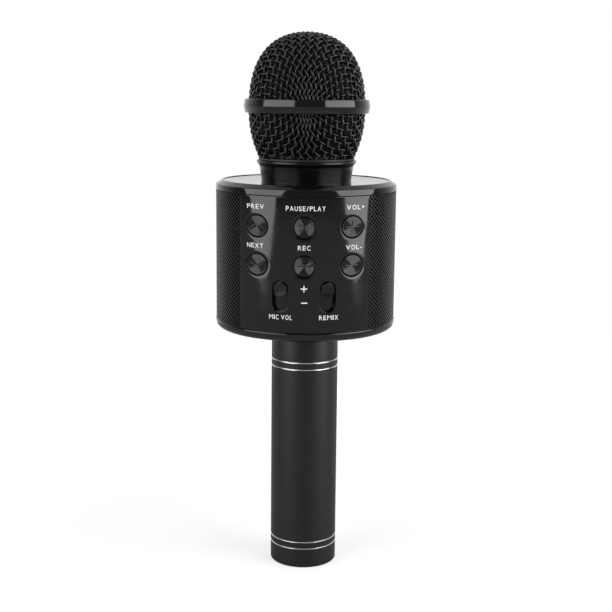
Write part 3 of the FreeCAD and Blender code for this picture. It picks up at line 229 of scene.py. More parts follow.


# %% [markdown]
# ## Making a piece
# A piece is a list of points in millimetres and a list of faces. One function turns them into a
# mesh in metres, shades it smooth except at real edges, gives it a material, puts it on its body
# and hides the CAD nodes that it stands for.

# %% A piece from points and faces
def add_piece(name, points, faces, material, body, nodes=(), edge_angle=35.0):
    """Make a mesh object from millimetre points and put it on a body of the frame."""
    mesh = bpy.data.meshes.new(name)
    mesh.from_pydata([Vector(p) * MM for p in points], [], faces)
    mesh.validate()
    return add_mesh(name, mesh, material, body, nodes, edge_angle)


def add_mesh(name, mesh, material, body, nodes=(), edge_angle=35.0):
    """Dress a finished mesh as a piece of the object."""
    shape = bmesh.new()
    shape.from_mesh(mesh)
    bmesh.ops.remove_doubles(shape, verts=shape.verts, dist=1e-7)
    bmesh.ops.recalc_face_normals(shape, faces=shape.faces)
    shape.to_mesh(mesh)
    shape.free()
    mesh.shade_smooth()
    mesh.set_sharp_from_angle(angle=math.radians(edge_angle))
    if not mesh.materials:
        mesh.materials.append(material)
    made = bpy.data.objects.new(name, mesh)
    bpy.context.scene.collection.objects.link(made)
    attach(made, body)
    if nodes:
        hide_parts(*nodes)
    return made


# %% [markdown]
# ## Turned pieces
# A lathe shape is an outline swung round the axis. Real edges are never quite sharp, and the thin
# highlight on a rounded edge is what makes a piece look real, so each corner of an outline carries
# its own rounding. The rounding is an arc that touches both neighbouring lines.

# %% Rounded outlines and the lathe
def soften(corners, steps=6):
    """An outline of (radius, z, rounding) corners with an arc in place of each rounded one."""
    outline = []
    for i, (across, height, size) in enumerate(corners):
        corner = Vector((across, height))
        if not size:
            outline.append(corner)
            continue
        back = (Vector(corners[i - 1][:2]) - corner).normalized()
        onward = (Vector(corners[(i + 1) % len(corners)][:2]) - corner).normalized()
        half = back.angle(onward) / 2
        middle = corner + (back + onward).normalized() * (size / math.sin(half))
        first = corner + back * (size / math.tan(half)) - middle
        last = corner + onward * (size / math.tan(half)) - middle
        sweep = first.angle_signed(last)
        for step in range(steps + 1):
            angle = sweep * step / steps
            outline.append(middle + Matrix.Rotation(-angle, 2) @ first)
    return outline


def lathe(outline, steps):
    """Points and faces of an outline turned about the upright axis."""
    points = []
    faces = []
    count = len(outline)
    for step in range(steps):
        angle = 2 * math.pi * step / steps
        for across, height in outline:
            points.append((across * math.cos(angle), across * math.sin(angle), height))
    for step in range(steps):
        here = step * count
        there = (step + 1) % steps * count
        for i in range(count):
            j = (i + 1) % count
            faces.append((here + i, here + j, there + j, there + i))
    return points, faces


def bands(first, count, rings):
    """Faces between rings of points; point number first starts them, each has count points."""
    faces = []
    for ring in range(rings - 1):
        here = first + ring * count
        for i in range(count):
            j = (i + 1) % count
            faces.append((here + i, here + j, here + count + j, here + count + i))
    return faces


def strip(columns):
    """Faces of a thin strip: an outer skin, then an inner one, with two points in every column."""
    skin = 2 * columns
    faces = []
    for i in range(0, skin - 2, 2):
        faces += [(i, i + 2, i + 3, i + 1), (skin + i, skin + i + 1, skin + i + 3, skin + i + 2),
                  (i, skin + i, skin + i + 2, i + 2), (i + 1, i + 3, skin + i + 3, skin + i + 1)]
    return faces + [(0, 1, skin + 1, skin), (skin - 2, 2 * skin - 2, 2 * skin - 1, skin - 1)]


def add_to(points, faces, more_points, more_faces):
    """Put the points and faces of one shape at the end of another's."""
    faces += [tuple(i + len(points) for i in face) for face in more_faces]
    points += more_points


test_outline = soften([(1, 0, 0.2), (2, 0, 0.2), (2, 1, 0.2), (1, 1, 0.2)])
print("a rounded square ring has", len(test_outline), "outline points")


# %% [markdown]
# ## The handle
# The handle is a thin aluminium tube, blasted and anodised black. Two pairs of fine lines were cut
# through the black after anodising, so the bare metal shines in them. A lathe shape fits: the cuts
# are shallow grooves in its outline, and their faces get the bare metal as a second material.

# %% Handle tube
tube_wall = 1.6
cut_width = 0.6
cut_depth = 0.22
cut_places = (9.25, 12.45, handle_top - 18.3, handle_top - 15.1)

corners = [(handle_radius - tube_wall, 0, 0.3), (handle_radius, 0, 0.8)]
for z in cut_places:
    corners += [(handle_radius, z - cut_width / 2, 0), (handle_radius - cut_depth, z - cut_width / 6, 0),
                (handle_radius - cut_depth, z + cut_width / 6, 0), (handle_radius, z + cut_width / 2, 0)]
corners += [(handle_radius, handle_top, 0.2), (handle_radius - tube_wall, handle_top, 0)]
points, faces = lathe(soften(corners), steps=256)
sleeve = add_piece("handle_sleeve", points, faces, blasted_anodised, "housing",
                   ["handle_tube"], edge_angle=25)


def repaint(piece, material, chosen):
    """Give the faces that a test chooses by their centre, in millimetres, a second material."""
    piece.data.materials.append(material)
    for face in piece.data.polygons:
        if chosen(face.center / MM):
            face.material_index = 1


def in_cut(spot):
    """Whether a place lies in one of the four cuts."""
    return (min(abs(spot.z - z) for z in cut_places) < cut_width / 2
            and spot.xy.length > handle_radius - 2 * cut_depth)


repaint(sleeve, bright_cut, in_cut)
print("handle sleeve with", sum(face.material_index for face in sleeve.data.polygons), "bright faces")


# %% [markdown]
# ## Covers and collar
# The drum is closed by two polished covers, and the collar carries the head. The upper cover and
# the collar are turned here, and the lower cover is a copy of its solid, made further down. The gap
# between the upper cover and the wall is a shadow line. It reads well only when both of its edges
# are slightly rounded, and the land behind it gets a dark, dull black as painted shade.

# %% Top cover and collar
seam = 0.3
edge_round = 0.12
bevel = 3.0                  # width of the lid's sloped shoulder
bevel_drop = 1.7
lean = 0.25
sunk = 0.35                  # the lid's flat top lies this much below its rim
rim_flat = 0.3               # width of the rim's top
rim_foot = 0.4               # and of its foot
hair = 0.01                  # play for a test of places
spigot = 16.0
wall = 2.0
land = drum_radius - 0.5
seam_z = wall_high + seam
rim = cover_radius - bevel
lid = soften([(cover_radius, seam_z, edge_round), (cover_radius - lean, drum_top - bevel_drop, 0.5),
              (rim, drum_top, 0.15), (rim - rim_flat, drum_top, 0.1),
              (rim - rim_foot, drum_top - sunk, 0.05),
              (spigot, drum_top - sunk, 0), (spigot, drum_top - wall, 0),
              (rim, drum_top - wall, 0), (cover_radius - wall, drum_top - wall - 1.0, 0),
              (cover_radius - wall, wall_high, 0),
              (land, wall_high, 0), (land, seam_z, 0)], steps=10)
points, faces = lathe(lid, steps=384)
top_lid = add_piece("top_lid", points, faces, polished_abs, "housing", ["top_cover"])
# The land inside the seam gets the painted-shade black.
repaint(top_lid, seam_shade_abs, lambda spot: spot.z < seam_z - hair)

foot_radius = 20.4
neck_radius = 21.5
lip_radius = radius_of("neck_collar") + 0.6
lip = 2.2
flare = 0.4                  # how much the collar widens
flare_height = 2.4           # by this height
play = 0.3                   # between the collar's spigot and the lid
bore = foot_radius - 0.6
floor_z = drum_top + 3.0
spigot_low = low("neck_collar").z
collar = soften([(spigot - 3.0, spigot_low, 0), (spigot - play, spigot_low, 0),
                 (spigot - play, drum_top - sunk, 0), (foot_radius, drum_top - sunk, 0),
                 (foot_radius + flare, drum_top + flare_height, 3.0),
                 (neck_radius, collar_top - lip, 2.0), (lip_radius, collar_top - lip / 2, 0.6),
                 (lip_radius, collar_top, 0.35), (bore, collar_top, 0.15), (bore, floor_z, 0.3),
                 (spigot - 3.0, floor_z, 0)])
points, faces = lathe(collar, steps=256)
add_piece("collar_ring", points, faces, satin_abs, "housing", ["neck_collar"])
print("lid and collar made")


# %% [markdown]
# ## The front panel
# The panel is a piece of a cylinder with six round holes and two slots, each with a rounded rim.
# Cutting such holes with booleans leaves long thin faces that ripple in a mirror finish. Instead
# the panel is laid out flat as points: a grid, and a few rings round each opening. A Delaunay
# triangulation joins them into even triangles, and each point is then lifted onto the cylinder,
# pushed in a little where it lies on a rounded rim.

# %% Layout of keys and slots
key_names = ("previous", "play", "volume_up", "next", "record", "volume_down")
key_places = {name: (centre(name + "_button").x, centre(name + "_button").z) for name in key_names}
slot_middle = 134.1
slot_places = {name: (centre(name + "_slider").x, slot_middle) for name in ("mic_volume", "remix")}
hole_width = 9.9
slot_width = 6.75
slot_length = 13.8
openings = [(x, z, hole_width, hole_width) for x, z in key_places.values()]
openings += [(x, z, slot_width, slot_length) for x, z in slot_places.values()]


def stadium(width, length, grow=0.0, steps=72):
    """An upright slot's outline about its own centre, grown all round; equal sides make a circle."""
    reach = width / 2 + grow
    straight = (length - width) / 2
    outline = []
    for step in range(steps):
        angle = 2 * math.pi * (step + 0.5) / steps
        shift = straight if math.sin(angle) > 0 else -straight
        outline.append((reach * math.cos(angle), reach * math.sin(angle) + shift))
    runs = 8 if straight > 1 else 1
    dense = []
    for (x0, z0), (x1, z1) in zip(outline, outline[1:] + outline[:1]):
        parts = runs if abs(z1 - z0) > straight else 1
        dense += [(x0 + (x1 - x0) * i / parts, z0 + (z1 - z0) * i / parts) for i in range(parts)]
    return dense


def outside(x, z, opening):
    """How far a point lies outside an opening."""
    middle_x, middle_z, width, length = opening
    tall = max(0.0, abs(z - middle_z) - (length - width) / 2)
    return math.hypot(x - middle_x, tall) - width / 2


def drum_face(x, radius):
    """The y of the drum's front at a place across it."""
    return -math.sqrt(radius ** 2 - x ** 2)


def rim_rows(size, rows=5):
    """Distance from the edge and depth below the face for each row of a rounded rim."""
    quarter = [math.pi / 2 * row / rows for row in range(rows + 1)]
    return [(size - size * math.sin(a), size - size * math.cos(a)) for a in quarter]


print("keys at", {name: (round(x, 1), round(z, 1)) for name, (x, z) in key_places.items()})

# %% Front panel
panel_angle = math.radians(43.1)
panel_wall = 2.0
panel_edge = 0.04
panel_margin = 0.3            # a row of points this far inside the edge keeps the face true there
rim_round = 0.18
rim_margins = (2.2, 1.2)      # and rows this far outside each opening
panel_grid = 1.7
grid_margin = 2.9             # the grid keeps this far off the openings
panel_half = drum_radius * math.sin(panel_angle)
panel_height = wall_high - wall_low


def panel_outline(inset, parts=40):
    """The panel's outer edge, moved inwards."""
    half = panel_half - inset
    tall = panel_height - 2 * inset
    base = wall_low + inset
    ahead = [i / parts for i in range(parts)]
    outline = [(-half + 2 * half * t, base) for t in ahead]
    outline += [(half, base + tall * t) for t in ahead]
    outline += [(half - 2 * half * t, base + tall) for t in ahead]
    return outline + [(-half, base + tall - tall * t) for t in ahead]


def make_panel():
    """Points and faces of the panel, its rims, its bores and its back."""
    flat = []
    sink = []
    loops = []

    def add_ring(outline, depth):
        first = len(flat)
        flat.extend(outline)
        sink.extend([depth] * len(outline))
        return list(range(first, len(flat)))

    for inset, depth in [(panel_margin, 0.0)] + rim_rows(panel_edge, 2):
        edge = add_ring(panel_outline(inset), depth)
    loops.append(edge)
    for x, z, width, length in openings:
        for away, depth in [(margin, 0.0) for margin in rim_margins] + rim_rows(rim_round):
            edge = add_ring([(x + u, z + v) for u, v in stadium(width, length, away)], depth)
        loops.append(edge)
    columns = round(2 * panel_half / panel_grid)
    rows = round(panel_height / panel_grid)
    for i in range(1, columns):
        for j in range(1, rows):
            x = -panel_half + 2 * panel_half * i / columns
            z = wall_low + panel_height * j / rows
            if min(outside(x, z, opening) for opening in openings) > grid_margin:
                flat.append((x, z))
                sink.append(0.0)

    edges = [(loop[i - 1], loop[i]) for loop in loops for i in range(len(loop))]
    found = delaunay_2d_cdt([Vector(p) for p in flat], edges, [], 0, 1e-6)
    places, triangles, sources = found[0], found[2], found[3]
    index = {s: i for i, source in enumerate(sources) for s in source}
    depths = [max((sink[s] for s in source), default=0.0) for source in sources]
    kept = []
    for triangle in triangles:
        middle = sum((places[i] for i in triangle), Vector((0, 0))) / 3
        if min(outside(middle.x, middle.y, opening) for opening in openings) > -hair:
            kept.append(tuple(triangle))
    count = len(places)
    points = [(p.x, drum_face(p.x, drum_radius) + d, p.y) for p, d in zip(places, depths)]
    points += [(p.x, drum_face(p.x, drum_radius - panel_wall), p.y) for p in places]
    shell = kept + [tuple(i + count for i in reversed(t)) for t in kept]
    for loop in loops:
        ring = [index[s] for s in loop]
        shell += [(ring[i], ring[i - 1], ring[i - 1] + count, ring[i] + count)
                  for i in range(len(ring))]
    return points, shell


points, faces = make_panel()
add_piece("panel_face", points, faces, polished_abs, "housing", ["front_panel"])
print("front panel with", len(faces), "faces")


# %% [markdown]
# ## Keys
# Each key is a round cap whose face follows the drum and is dished to guide a fingertip. The face
# was turned on a lathe, and its fine rings stretch every highlight into a bow tie: a groove's two
# flanks mirror what lies far out to both sides of the key. Real grooves in the mesh do that by
# themselves, so the face is a polar grid whose rows zigzag in depth.

# %% Key caps
key_radius = 4.6
key_recess = 0.3
key_rim = 0.5
key_dish = 0.4
key_edge = 0.45
groove_pitch = 0.3
groove_slope = math.radians(26)
flange_radius = 5.65
flange_thickness = 0.8
stem_radius = 1.5
cap_depth = 3.2


def key_face(x, across):
    """The y of a key's face, dished inside its rim."""
    bowl = max(0.0, 1 - (across / (key_radius - key_rim)) ** 2)
    return drum_face(x, drum_radius - key_recess) + key_dish * bowl


def circle(x, z, radius, steps):
    """Places round a circle that faces the front, as x and z."""
    angles = [2 * math.pi * step / steps for step in range(steps)]
    return [(x + radius * math.cos(angle), z + radius * math.sin(angle)) for angle in angles]


def make_key(x, z, back_y, steps=96):
    """A key's points and faces: the grooved face, the rim, the wall, the flange and the stem."""
    flanks = 2 * round((key_radius - key_rim) / groove_pitch)
    depth = groove_pitch / 2 * math.tan(groove_slope)
    rows = [((key_radius - key_rim) * row / flanks, row % 2 * depth) for row in range(1, flanks + 1)]
    rows += [(key_radius - away, depth) for away, depth in rim_rows(key_edge, 4)]
    points = [(x, key_face(x, 0), z)]
    for across, lift in rows:
        points += [(px, key_face(px, across) + lift, pz) for px, pz in circle(x, z, across, steps)]
    flange_y = key_face(x, key_radius) + cap_depth
    for across, y in ((key_radius, flange_y), (flange_radius, flange_y),
                      (flange_radius, flange_y + flange_thickness),
                      (stem_radius, flange_y + flange_thickness), (stem_radius, back_y)):
        points += [(px, y, pz) for px, pz in circle(x, z, across, steps)]
    faces = [(0, 1 + (step + 1) % steps, 1 + step) for step in range(steps)]
    rings = (len(points) - 1) // steps
    faces += bands(1, steps, rings)
    faces.append(tuple(1 + (rings - 1) * steps + step for step in range(steps)))
    return points, faces


# %% [markdown]
# The raised mark on each key is a few short bars. A bar is swept along its line with a rounded
# back, it follows the dished face, and its foot is sunk a little into the cap.

# %% Marks on the keys
mark_width = 0.42
mark_height = 0.16
mark_step = 0.2
mark_section = [(-1.0, -0.1), (-1.0, 0.5), (-0.6, 0.9), (0.0, 1.0), (0.6, 0.9), (1.0, 0.5),
                (1.0, -0.1)]          # a bar's rounded back, as shares of half its width and height
marks = {
    "previous": [(-2.8, -0.85, 0.0, 1.15), (0.0, 1.15, 2.8, -0.85)],
    "play": [(-2.0, -1.5, -2.0, 1.5), (-2.0, 1.5, 0.2, 0.0), (0.2, 0.0, -2.0, -1.5),
             (1.2, -1.5, 1.2, 1.5)],
    "volume_up": [(-2.7, 0.0, 2.7, 0.0), (0.0, -2.7, 0.0, 2.7)],
    "next": [(-2.8, 0.85, 0.0, -1.15), (0.0, -1.15, 2.8, 0.85)],
    "record": [(-2.7, 0.0, 2.7, 0.0), (-1.4, 1.2, 1.4, 1.2)],
    "volume_down": [(-2.7, 0.0, 2.7, 0.0)],
}


def make_mark(x, z, line):
    """A raised bar on a key's face from one place to another."""
    start, end = Vector(line[:2]), Vector(line[2:])
    along = (end - start).normalized()
    side = Vector((-along.y, along.x))
    parts = max(2, round((end - start).length / mark_step))
    points = []
    for part in range(parts + 1):
        middle = start + (end - start) * part / parts
        for aside, lift in mark_section:
            place = middle + side * (aside * mark_width / 2)
            depth = key_face(x + place.x, place.length)
            points.append((x + place.x, depth - lift * mark_height, z + place.y))
    width = len(mark_section)
    faces = bands(0, width, parts + 1)
    faces.append(tuple(range(width)))
    faces.append(tuple(parts * width + i for i in range(width)))
    return points, faces


for name, (x, z) in key_places.items():
    points, faces = make_key(x, z, high(name + "_button").y)
    for line in marks[name]:
        add_to(points, faces, *make_mark(x, z, line))
    add_piece(name + "_cap", points, faces, turned_key_abs, name + "_key",
              [name + "_button"])
print(len(key_places), "keys made")


# %% [markdown]
# ## Slider knobs
# A knob is a small upright stadium with a dished, ribbed face and a thin raised rim. It stands on a
# curved plate behind the panel, which closes the slot while the knob travels. The face is made of
# rows that shrink from the outline to the middle, so the rim and the dish get their own rows.

# %% Knobs on their plates
knob_width = 6.1
knob_length = 7.0
knob_recess = 0.8
knob_dish = 0.15
knob_rim = 0.35
knob_edge = 0.3
dish_rows = 24
dish_reach = 0.999            # the last row stops just short of the middle line
rib_pitch = 0.62
rib_height = 0.035
rib_fade = 0.4                # the ribs grow to their full height over this width
skirt_radius = 38.75
skirt_wall = 0.8
skirt_width = 7.75
skirt_length = 20.0


def knob_face(x, u, inset):
    """The y of a knob's face: rim, then dish with ribs."""
    reach = knob_width / 2 - knob_rim
    depth = 0.0
    if inset > knob_rim:
        inward = (inset - knob_rim) / reach
        depth = knob_dish * (1 - (1 - min(inward, 1.0)) ** 2)
        fade = min(1.0, (inset - knob_rim) / rib_fade)
        depth -= rib_height * fade * (0.5 + 0.5 * math.cos(2 * math.pi * u / rib_pitch))
    return drum_face(x, drum_radius - knob_recess) + depth


def make_knob(x, z):
    """A knob's points and faces with the plate that it stands on."""
    insets = list(reversed(rim_rows(knob_edge, 3))) + [(knob_rim, 0.0)]
    inner = knob_width / 2 - knob_rim
    insets += [(knob_rim + inner * i / dish_rows, 0.0) for i in range(1, dish_rows + 1)]
    points = []
    for inset, drop in insets:
        for u, v in stadium(knob_width, knob_length, -inset * dish_reach):
            points.append((x + u, knob_face(x + u, u, inset) + drop, z + v))
    count = len(stadium(knob_width, knob_length))
    faces = bands(0, count, len(insets))
    last = (len(insets) - 1) * count
    faces.append(tuple(last + i for i in range(count)))
    foot = len(points)
    for u, v in stadium(knob_width, knob_length):
        points.append((x + u, drum_face(x + u, skirt_radius) + skirt_wall / 2, z + v))
    faces += [(foot + i, foot + (i + 1) % count, (i + 1) % count, i) for i in range(count)]
    faces.append(tuple(foot + i for i in reversed(range(count))))
    base = len(points)
    across, upward = 12, 16
    for depth in (0.0, skirt_wall):
        for i in range(across + 1):
            for j in range(upward + 1):
                px = x + skirt_width * (i / across - 0.5)
                points.append((px, drum_face(px, skirt_radius - depth),
                               z + skirt_length * (j / upward - 0.5)))
    size = (across + 1) * (upward + 1)

    def at(side, i, j):
        return base + side * size + i * (upward + 1) + j

    for i in range(across):
        for j in range(upward):
            faces.append((at(0, i, j), at(0, i + 1, j), at(0, i + 1, j + 1), at(0, i, j + 1)))
            faces.append((at(1, i, j), at(1, i, j + 1), at(1, i + 1, j + 1), at(1, i + 1, j)))
    edge = [(i, 0) for i in range(across)] + [(across, j) for j in range(upward)]
    edge += [(i, upward) for i in range(across, 0, -1)] + [(0, j) for j in range(upward, 0, -1)]
    for (i, j), (k, m) in zip(edge, edge[1:] + edge[:1]):
        faces.append((at(0, i, j), at(1, i, j), at(1, k, m), at(0, k, m)))
    return points, faces


for name in slot_places:
    x, z = slot_places[name][0], centre(name + "_slider").z
    points, faces = make_knob(x, z)
    add_piece(name + "_knob", points, faces, turned_key_abs, name + "_slide",
              [name + "_slider"])
print("two knobs made")


# %% [markdown]
# ## Printed words
# The words on the panel are pad-printed in white. Blender's own font is close to the printed one
# once its letters are narrowed and thickened. Each letter is made as a flat text and turned into a
# mesh, the letters of a word are set side by side, and the word is bent round the drum a hair above
# its face, as thick as a film of ink.

# %% Words bent round the drum
ink_lift = 0.03
letter_height = 2.15
bold = 0.025                  # how far a stroke is thickened on each side
font_cap_height = 0.729       # of the built-in font, for a text of size 1
letter_gap = 0.2              # this and the widths are parts of a letter's height
letter_widths = {"P": 0.56, "R": 0.62, "E": 0.52, "V": 0.7, "A": 0.72, "U": 0.62, "S": 0.54, "/": 0.42,
                 "L": 0.5, "Y": 0.66, "O": 0.7, "N": 0.66, "X": 0.66, "T": 0.58, "C": 0.62, "M": 0.86,
                 "I": 0.2, "+": 0.5, "-": 0.3, " ": 0.12}
words = [("PREV", -22.4, 172.4, 8.8), ("PAUSE/PLAY", 0.47, 172.1, 17.0), ("VOL+", 23.1, 172.4, 9.1),
         ("NEXT", -22.6, 155.5, 8.4), ("REC", -0.03, 155.3, 5.4), ("VOL-", 22.4, 155.2, 7.9),
         ("MIC VOL", -10.2, 125.0, 10.4), ("REMIX", 10.9, 125.0, 8.5)]
bars = [(0.0, 137.6, 2.8, 0.5), (0.0, 137.6, 0.5, 2.8), (0.17, 131.45, 2.7, 0.5)]


def letter_mesh(letter):
    """One letter as a flat mesh in millimetres, as wide as the table says."""
    thicker = 0.0 if letter == "M" else bold         # an M's corners would fill with ink
    curve = bpy.data.curves.new("letter", "FONT")
    curve.body = letter
    curve.size = (letter_height - 2 * thicker) / font_cap_height
    curve.offset = thicker
    curve.extrude = ink_lift
    curve.resolution_u = 4
    holder = bpy.data.objects.new("letter", curve)
    bpy.context.scene.collection.objects.link(holder)
    bpy.context.view_layer.update()
    mesh = bpy.data.meshes.new_from_object(holder.evaluated_get(bpy.context.evaluated_depsgraph_get()))
    bpy.data.objects.remove(holder)
    left = min(v.co.x for v in mesh.vertices)
    natural = max(v.co.x for v in mesh.vertices) - left
    for vertex in mesh.vertices:
        vertex.co.x = (vertex.co.x - left) * letter_widths[letter] * letter_height / natural
    return mesh


def word_mesh(word, arc, z, width):
    """A word's points and faces, bent round the drum at an arc distance from the front."""
    points, faces = [], []
    pen = 0.0
    for letter in word:
        if letter != " ":
            mesh = letter_mesh(letter)
            add_to(points, faces, [vertex.co + Vector((pen, 0, 0)) for vertex in mesh.vertices],
                   [face.vertices for face in mesh.polygons])
        pen += (letter_widths[letter] + letter_gap) * letter_height
    stretch = width / (pen - letter_gap * letter_height)
    middle = Vector((width / stretch / 2, (min(p.y for p in points) + max(p.y for p in points)) / 2))
    bent = []
    for point in points:
        angle = (arc + (point.x - middle.x) * stretch) / drum_radius
        radius = drum_radius + point.z
        bent.append((radius * math.sin(angle), -radius * math.cos(angle),
                     z + point.y - middle.y))
    return bent, faces


def bar_mesh(arc, z, width, height, parts=6):
    """A printed bar's points and faces; bars make the plus and the minus between the slots."""
    points = []
    for radius in (drum_radius + ink_lift, drum_radius - ink_lift):
        for part in range(parts + 1):
            angle = (arc + width * (part / parts - 0.5)) / drum_radius
            for side in (-0.5, 0.5):
                points.append((radius * math.sin(angle), -radius * math.cos(angle), z + side * height))
    return points, strip(parts + 1)


points, faces = [], []
for printed in [word_mesh(*word) for word in words] + [bar_mesh(*bar) for bar in bars]:
    add_to(points, faces, *printed)
add_piece("printed_words", points, faces, white_ink, "housing")
print(len(words), "words printed with", len(faces), "faces")


# %% [markdown]
# ## The perforated grille
# The drum's sides and back are one sheet of steel, punched with nearly six thousand diamond-shaped
# holes in staggered columns, cut to size, rolled round and powder coated. It is made here in the
# same order. One small tile carries one hole, and its outline is a diamond too, so that tiles set
# out in staggered columns fill a flat sheet. Geometry Nodes set them out. The sheet is then cut to
# size, which cuts through holes at its edges as it does on the real one, and a second tree rolls it.

# %% One punched tile
column_pitch = 1.07
hole_pitch = 1.88
sheet_wall = 0.8
tip_share = 0.70              # how far the hole reaches towards the tile's tips
side_share = 0.82             # and towards the middles of its sides


def make_tile():
    """A diamond tile with a rounded diamond hole, as thick as the sheet."""
    border = []
    for tip in range(4):
        here = (math.cos(tip * math.pi / 2) * column_pitch, math.sin(tip * math.pi / 2) * hole_pitch / 2)
        angle = (tip + 1) * math.pi / 2
        following = (math.cos(angle) * column_pitch, math.sin(angle) * hole_pitch / 2)
        border += [here, ((here[0] + following[0]) / 2, (here[1] + following[1]) / 2)]
    points = []
    for depth in (0.0, sheet_wall):
        points += [(x, depth, z) for x, z in border]
        for i, (x, z) in enumerate(border):
            share = side_share if i % 2 else tip_share
            points.append((x * share, depth, z * share))
    faces = []
    for i in range(8):
        j = (i + 1) % 8
        faces += [(i, 8 + i, 8 + j, j), (16 + i, 16 + j, 24 + j, 24 + i), (8 + i, 24 + i, 24 + j, 8 + j)]
    return points, faces


points, faces = make_tile()
tile_mesh = bpy.data.meshes.new("tile")
tile_mesh.from_pydata([Vector(p) * MM for p in points], [], faces)
print("a tile with", len(faces), "faces")


# %% A tree with named inputs
def new_tree(name, inputs):
    """A geometry tree with a geometry input and output and named number inputs."""
    tree = bpy.data.node_groups.new(name, "GeometryNodeTree")
    tree.interface.new_socket("Geometry", in_out="INPUT", socket_type="NodeSocketGeometry")
    tree.interface.new_socket("Geometry", in_out="OUTPUT", socket_type="NodeSocketGeometry")
    for label, kind in inputs.items():
        tree.interface.new_socket(label, in_out="INPUT", socket_type=kind)
    return tree, add_node(tree, "NodeGroupInput").outputs, add_node(tree, "NodeGroupOutput").inputs


def run_tree(tree, mesh, values):
    """Run a geometry tree on a mesh and give back the result as a plain mesh."""
    holder = bpy.data.objects.new(tree.name, mesh)
    bpy.context.scene.collection.objects.link(holder)
    modifier = holder.modifiers.new(tree.name, "NODES")
    modifier.node_group = tree
    for item in tree.interface.items_tree:
        if item.in_out == "INPUT" and item.name in values:
            modifier[item.identifier] = values[item.name]
    holder.update_tag()
    graph = bpy.context.evaluated_depsgraph_get()
    made = bpy.data.meshes.new_from_object(holder.evaluated_get(graph))
    holder.modifiers.remove(modifier)
    bpy.data.objects.remove(holder)
    return made


def end_tree(tree, geometry, given, result):
    """End a tree with real geometry in the material that it was given."""
    real = add_node(tree, "GeometryNodeRealizeInstances", {"Geometry": geometry.outputs[0]})
    painted = add_node(tree, "GeometryNodeSetMaterial",
                       {"Geometry": real.outputs[0], "Material": given["Material"]})
    tree.links.new(painted.outputs[0], result[0])


def maths(tree, operation, *values):
    """The result of a Math node."""
    return add_node(tree, "ShaderNodeMath", dict(enumerate(values)), operation=operation).outputs[0]


# %% Tree that sets out the tiles
sheet_tree, given, result = new_tree("punched_sheet", {
    "Columns": "NodeSocketInt", "Rows": "NodeSocketInt", "Column Pitch": "NodeSocketFloat",
    "Hole Pitch": "NodeSocketFloat", "Material": "NodeSocketMaterial"})
point = add_node(sheet_tree, "GeometryNodeInputIndex").outputs[0]
row = maths(sheet_tree, "MODULO", point, given["Rows"])
column = maths(sheet_tree, "FLOOR", maths(sheet_tree, "DIVIDE", point, given["Rows"]))
stagger = maths(sheet_tree, "MULTIPLY", maths(sheet_tree, "MODULO", column, 2.0), 0.5)
place = add_node(sheet_tree, "ShaderNodeCombineXYZ", {
    "X": maths(sheet_tree, "MULTIPLY", column, given["Column Pitch"]),
    "Z": maths(sheet_tree, "MULTIPLY", maths(sheet_tree, "ADD", row, stagger), given["Hole Pitch"])})
dots = add_node(sheet_tree, "GeometryNodePoints", {
    "Count": maths(sheet_tree, "MULTIPLY", given["Columns"], given["Rows"]),
    "Position": place.outputs[0]})
tiles = add_node(sheet_tree, "GeometryNodeInstanceOnPoints", {"Points": dots.outputs[0],
                                                              "Instance": given["Geometry"]})
end_tree(sheet_tree, tiles, given, result)
print("sheet tree with", len(sheet_tree.nodes), "nodes")


# %% Tree that rolls a flat sheet
roll_tree, given, result = new_tree("rolled_sheet", {
    "Radius": "NodeSocketFloat", "Start Angle": "NodeSocketFloat", "Material": "NodeSocketMaterial"})
flat = add_node(roll_tree, "ShaderNodeSeparateXYZ",
                {0: add_node(roll_tree, "GeometryNodeInputPosition").outputs[0]}).outputs
angle = maths(roll_tree, "ADD", given["Start Angle"],
              maths(roll_tree, "DIVIDE", flat["X"], given["Radius"]))
across = maths(roll_tree, "SUBTRACT", given["Radius"], flat["Y"])
round_place = add_node(roll_tree, "ShaderNodeCombineXYZ", {
    "X": maths(roll_tree, "MULTIPLY", across, maths(roll_tree, "COSINE", angle)),
    "Y": maths(roll_tree, "MULTIPLY", across, maths(roll_tree, "SINE", angle)), "Z": flat["Z"]})
rolled = add_node(roll_tree, "GeometryNodeSetPosition",
                  {"Geometry": given["Geometry"], "Position": round_place.outputs[0]})
end_tree(roll_tree, rolled, given, result)
print("roll tree with", len(roll_tree.nodes), "nodes")


# %% The grille in two halves
grille_joint = math.radians(0.25)
grille_start = -math.pi / 2 + panel_angle + grille_joint
grille_span = 2 * math.pi - 2 * panel_angle - 2 * grille_joint
half_width = grille_span * drum_radius / 2
columns = math.ceil(half_width / column_pitch) + 2
rows = math.ceil(panel_height / hole_pitch) + 2


def cut_sheet(mesh, shift_x, shift_z, width, height):
    """Move a flat sheet, cut it to size and wall up its cut edges."""
    shape = bmesh.new()
    shape.from_mesh(mesh)
    bmesh.ops.remove_doubles(shape, verts=shape.verts, dist=1e-6)
    bmesh.ops.translate(shape, verts=shape.verts, vec=(shift_x, 0, shift_z))
    for corner, outward in (((0, 0, 0), (-1, 0, 0)), ((0, 0, 0), (0, 0, -1)),
                            ((width, 0, height), (1, 0, 0)), ((width, 0, height), (0, 0, 1))):
        bmesh.ops.bisect_plane(shape, geom=shape.verts[:] + shape.edges[:] + shape.faces[:],
                               dist=1e-7, plane_co=corner, plane_no=outward, clear_outer=True)
    middle = sheet_wall * MM / 2
    rim_edges = [edge for edge in shape.edges if edge.is_boundary]
    rim_points = list({v for edge in rim_edges for v in edge.verts})
    behind = KDTree(len(rim_points))
    for i, point in enumerate(rim_points):
        behind.insert(point.co + Vector((0, 0 if point.co.y > middle else 1, 0)), i)
    behind.balance()
    for edge in rim_edges:
        a, b = edge.verts
        if a.co.y < middle and b.co.y < middle:
            c, d = [rim_points[behind.find((v.co.x, sheet_wall * MM, v.co.z))[1]] for v in (a, b)]
            shape.faces.new((a, b, d, c))
    shape.to_mesh(mesh)
    shape.free()


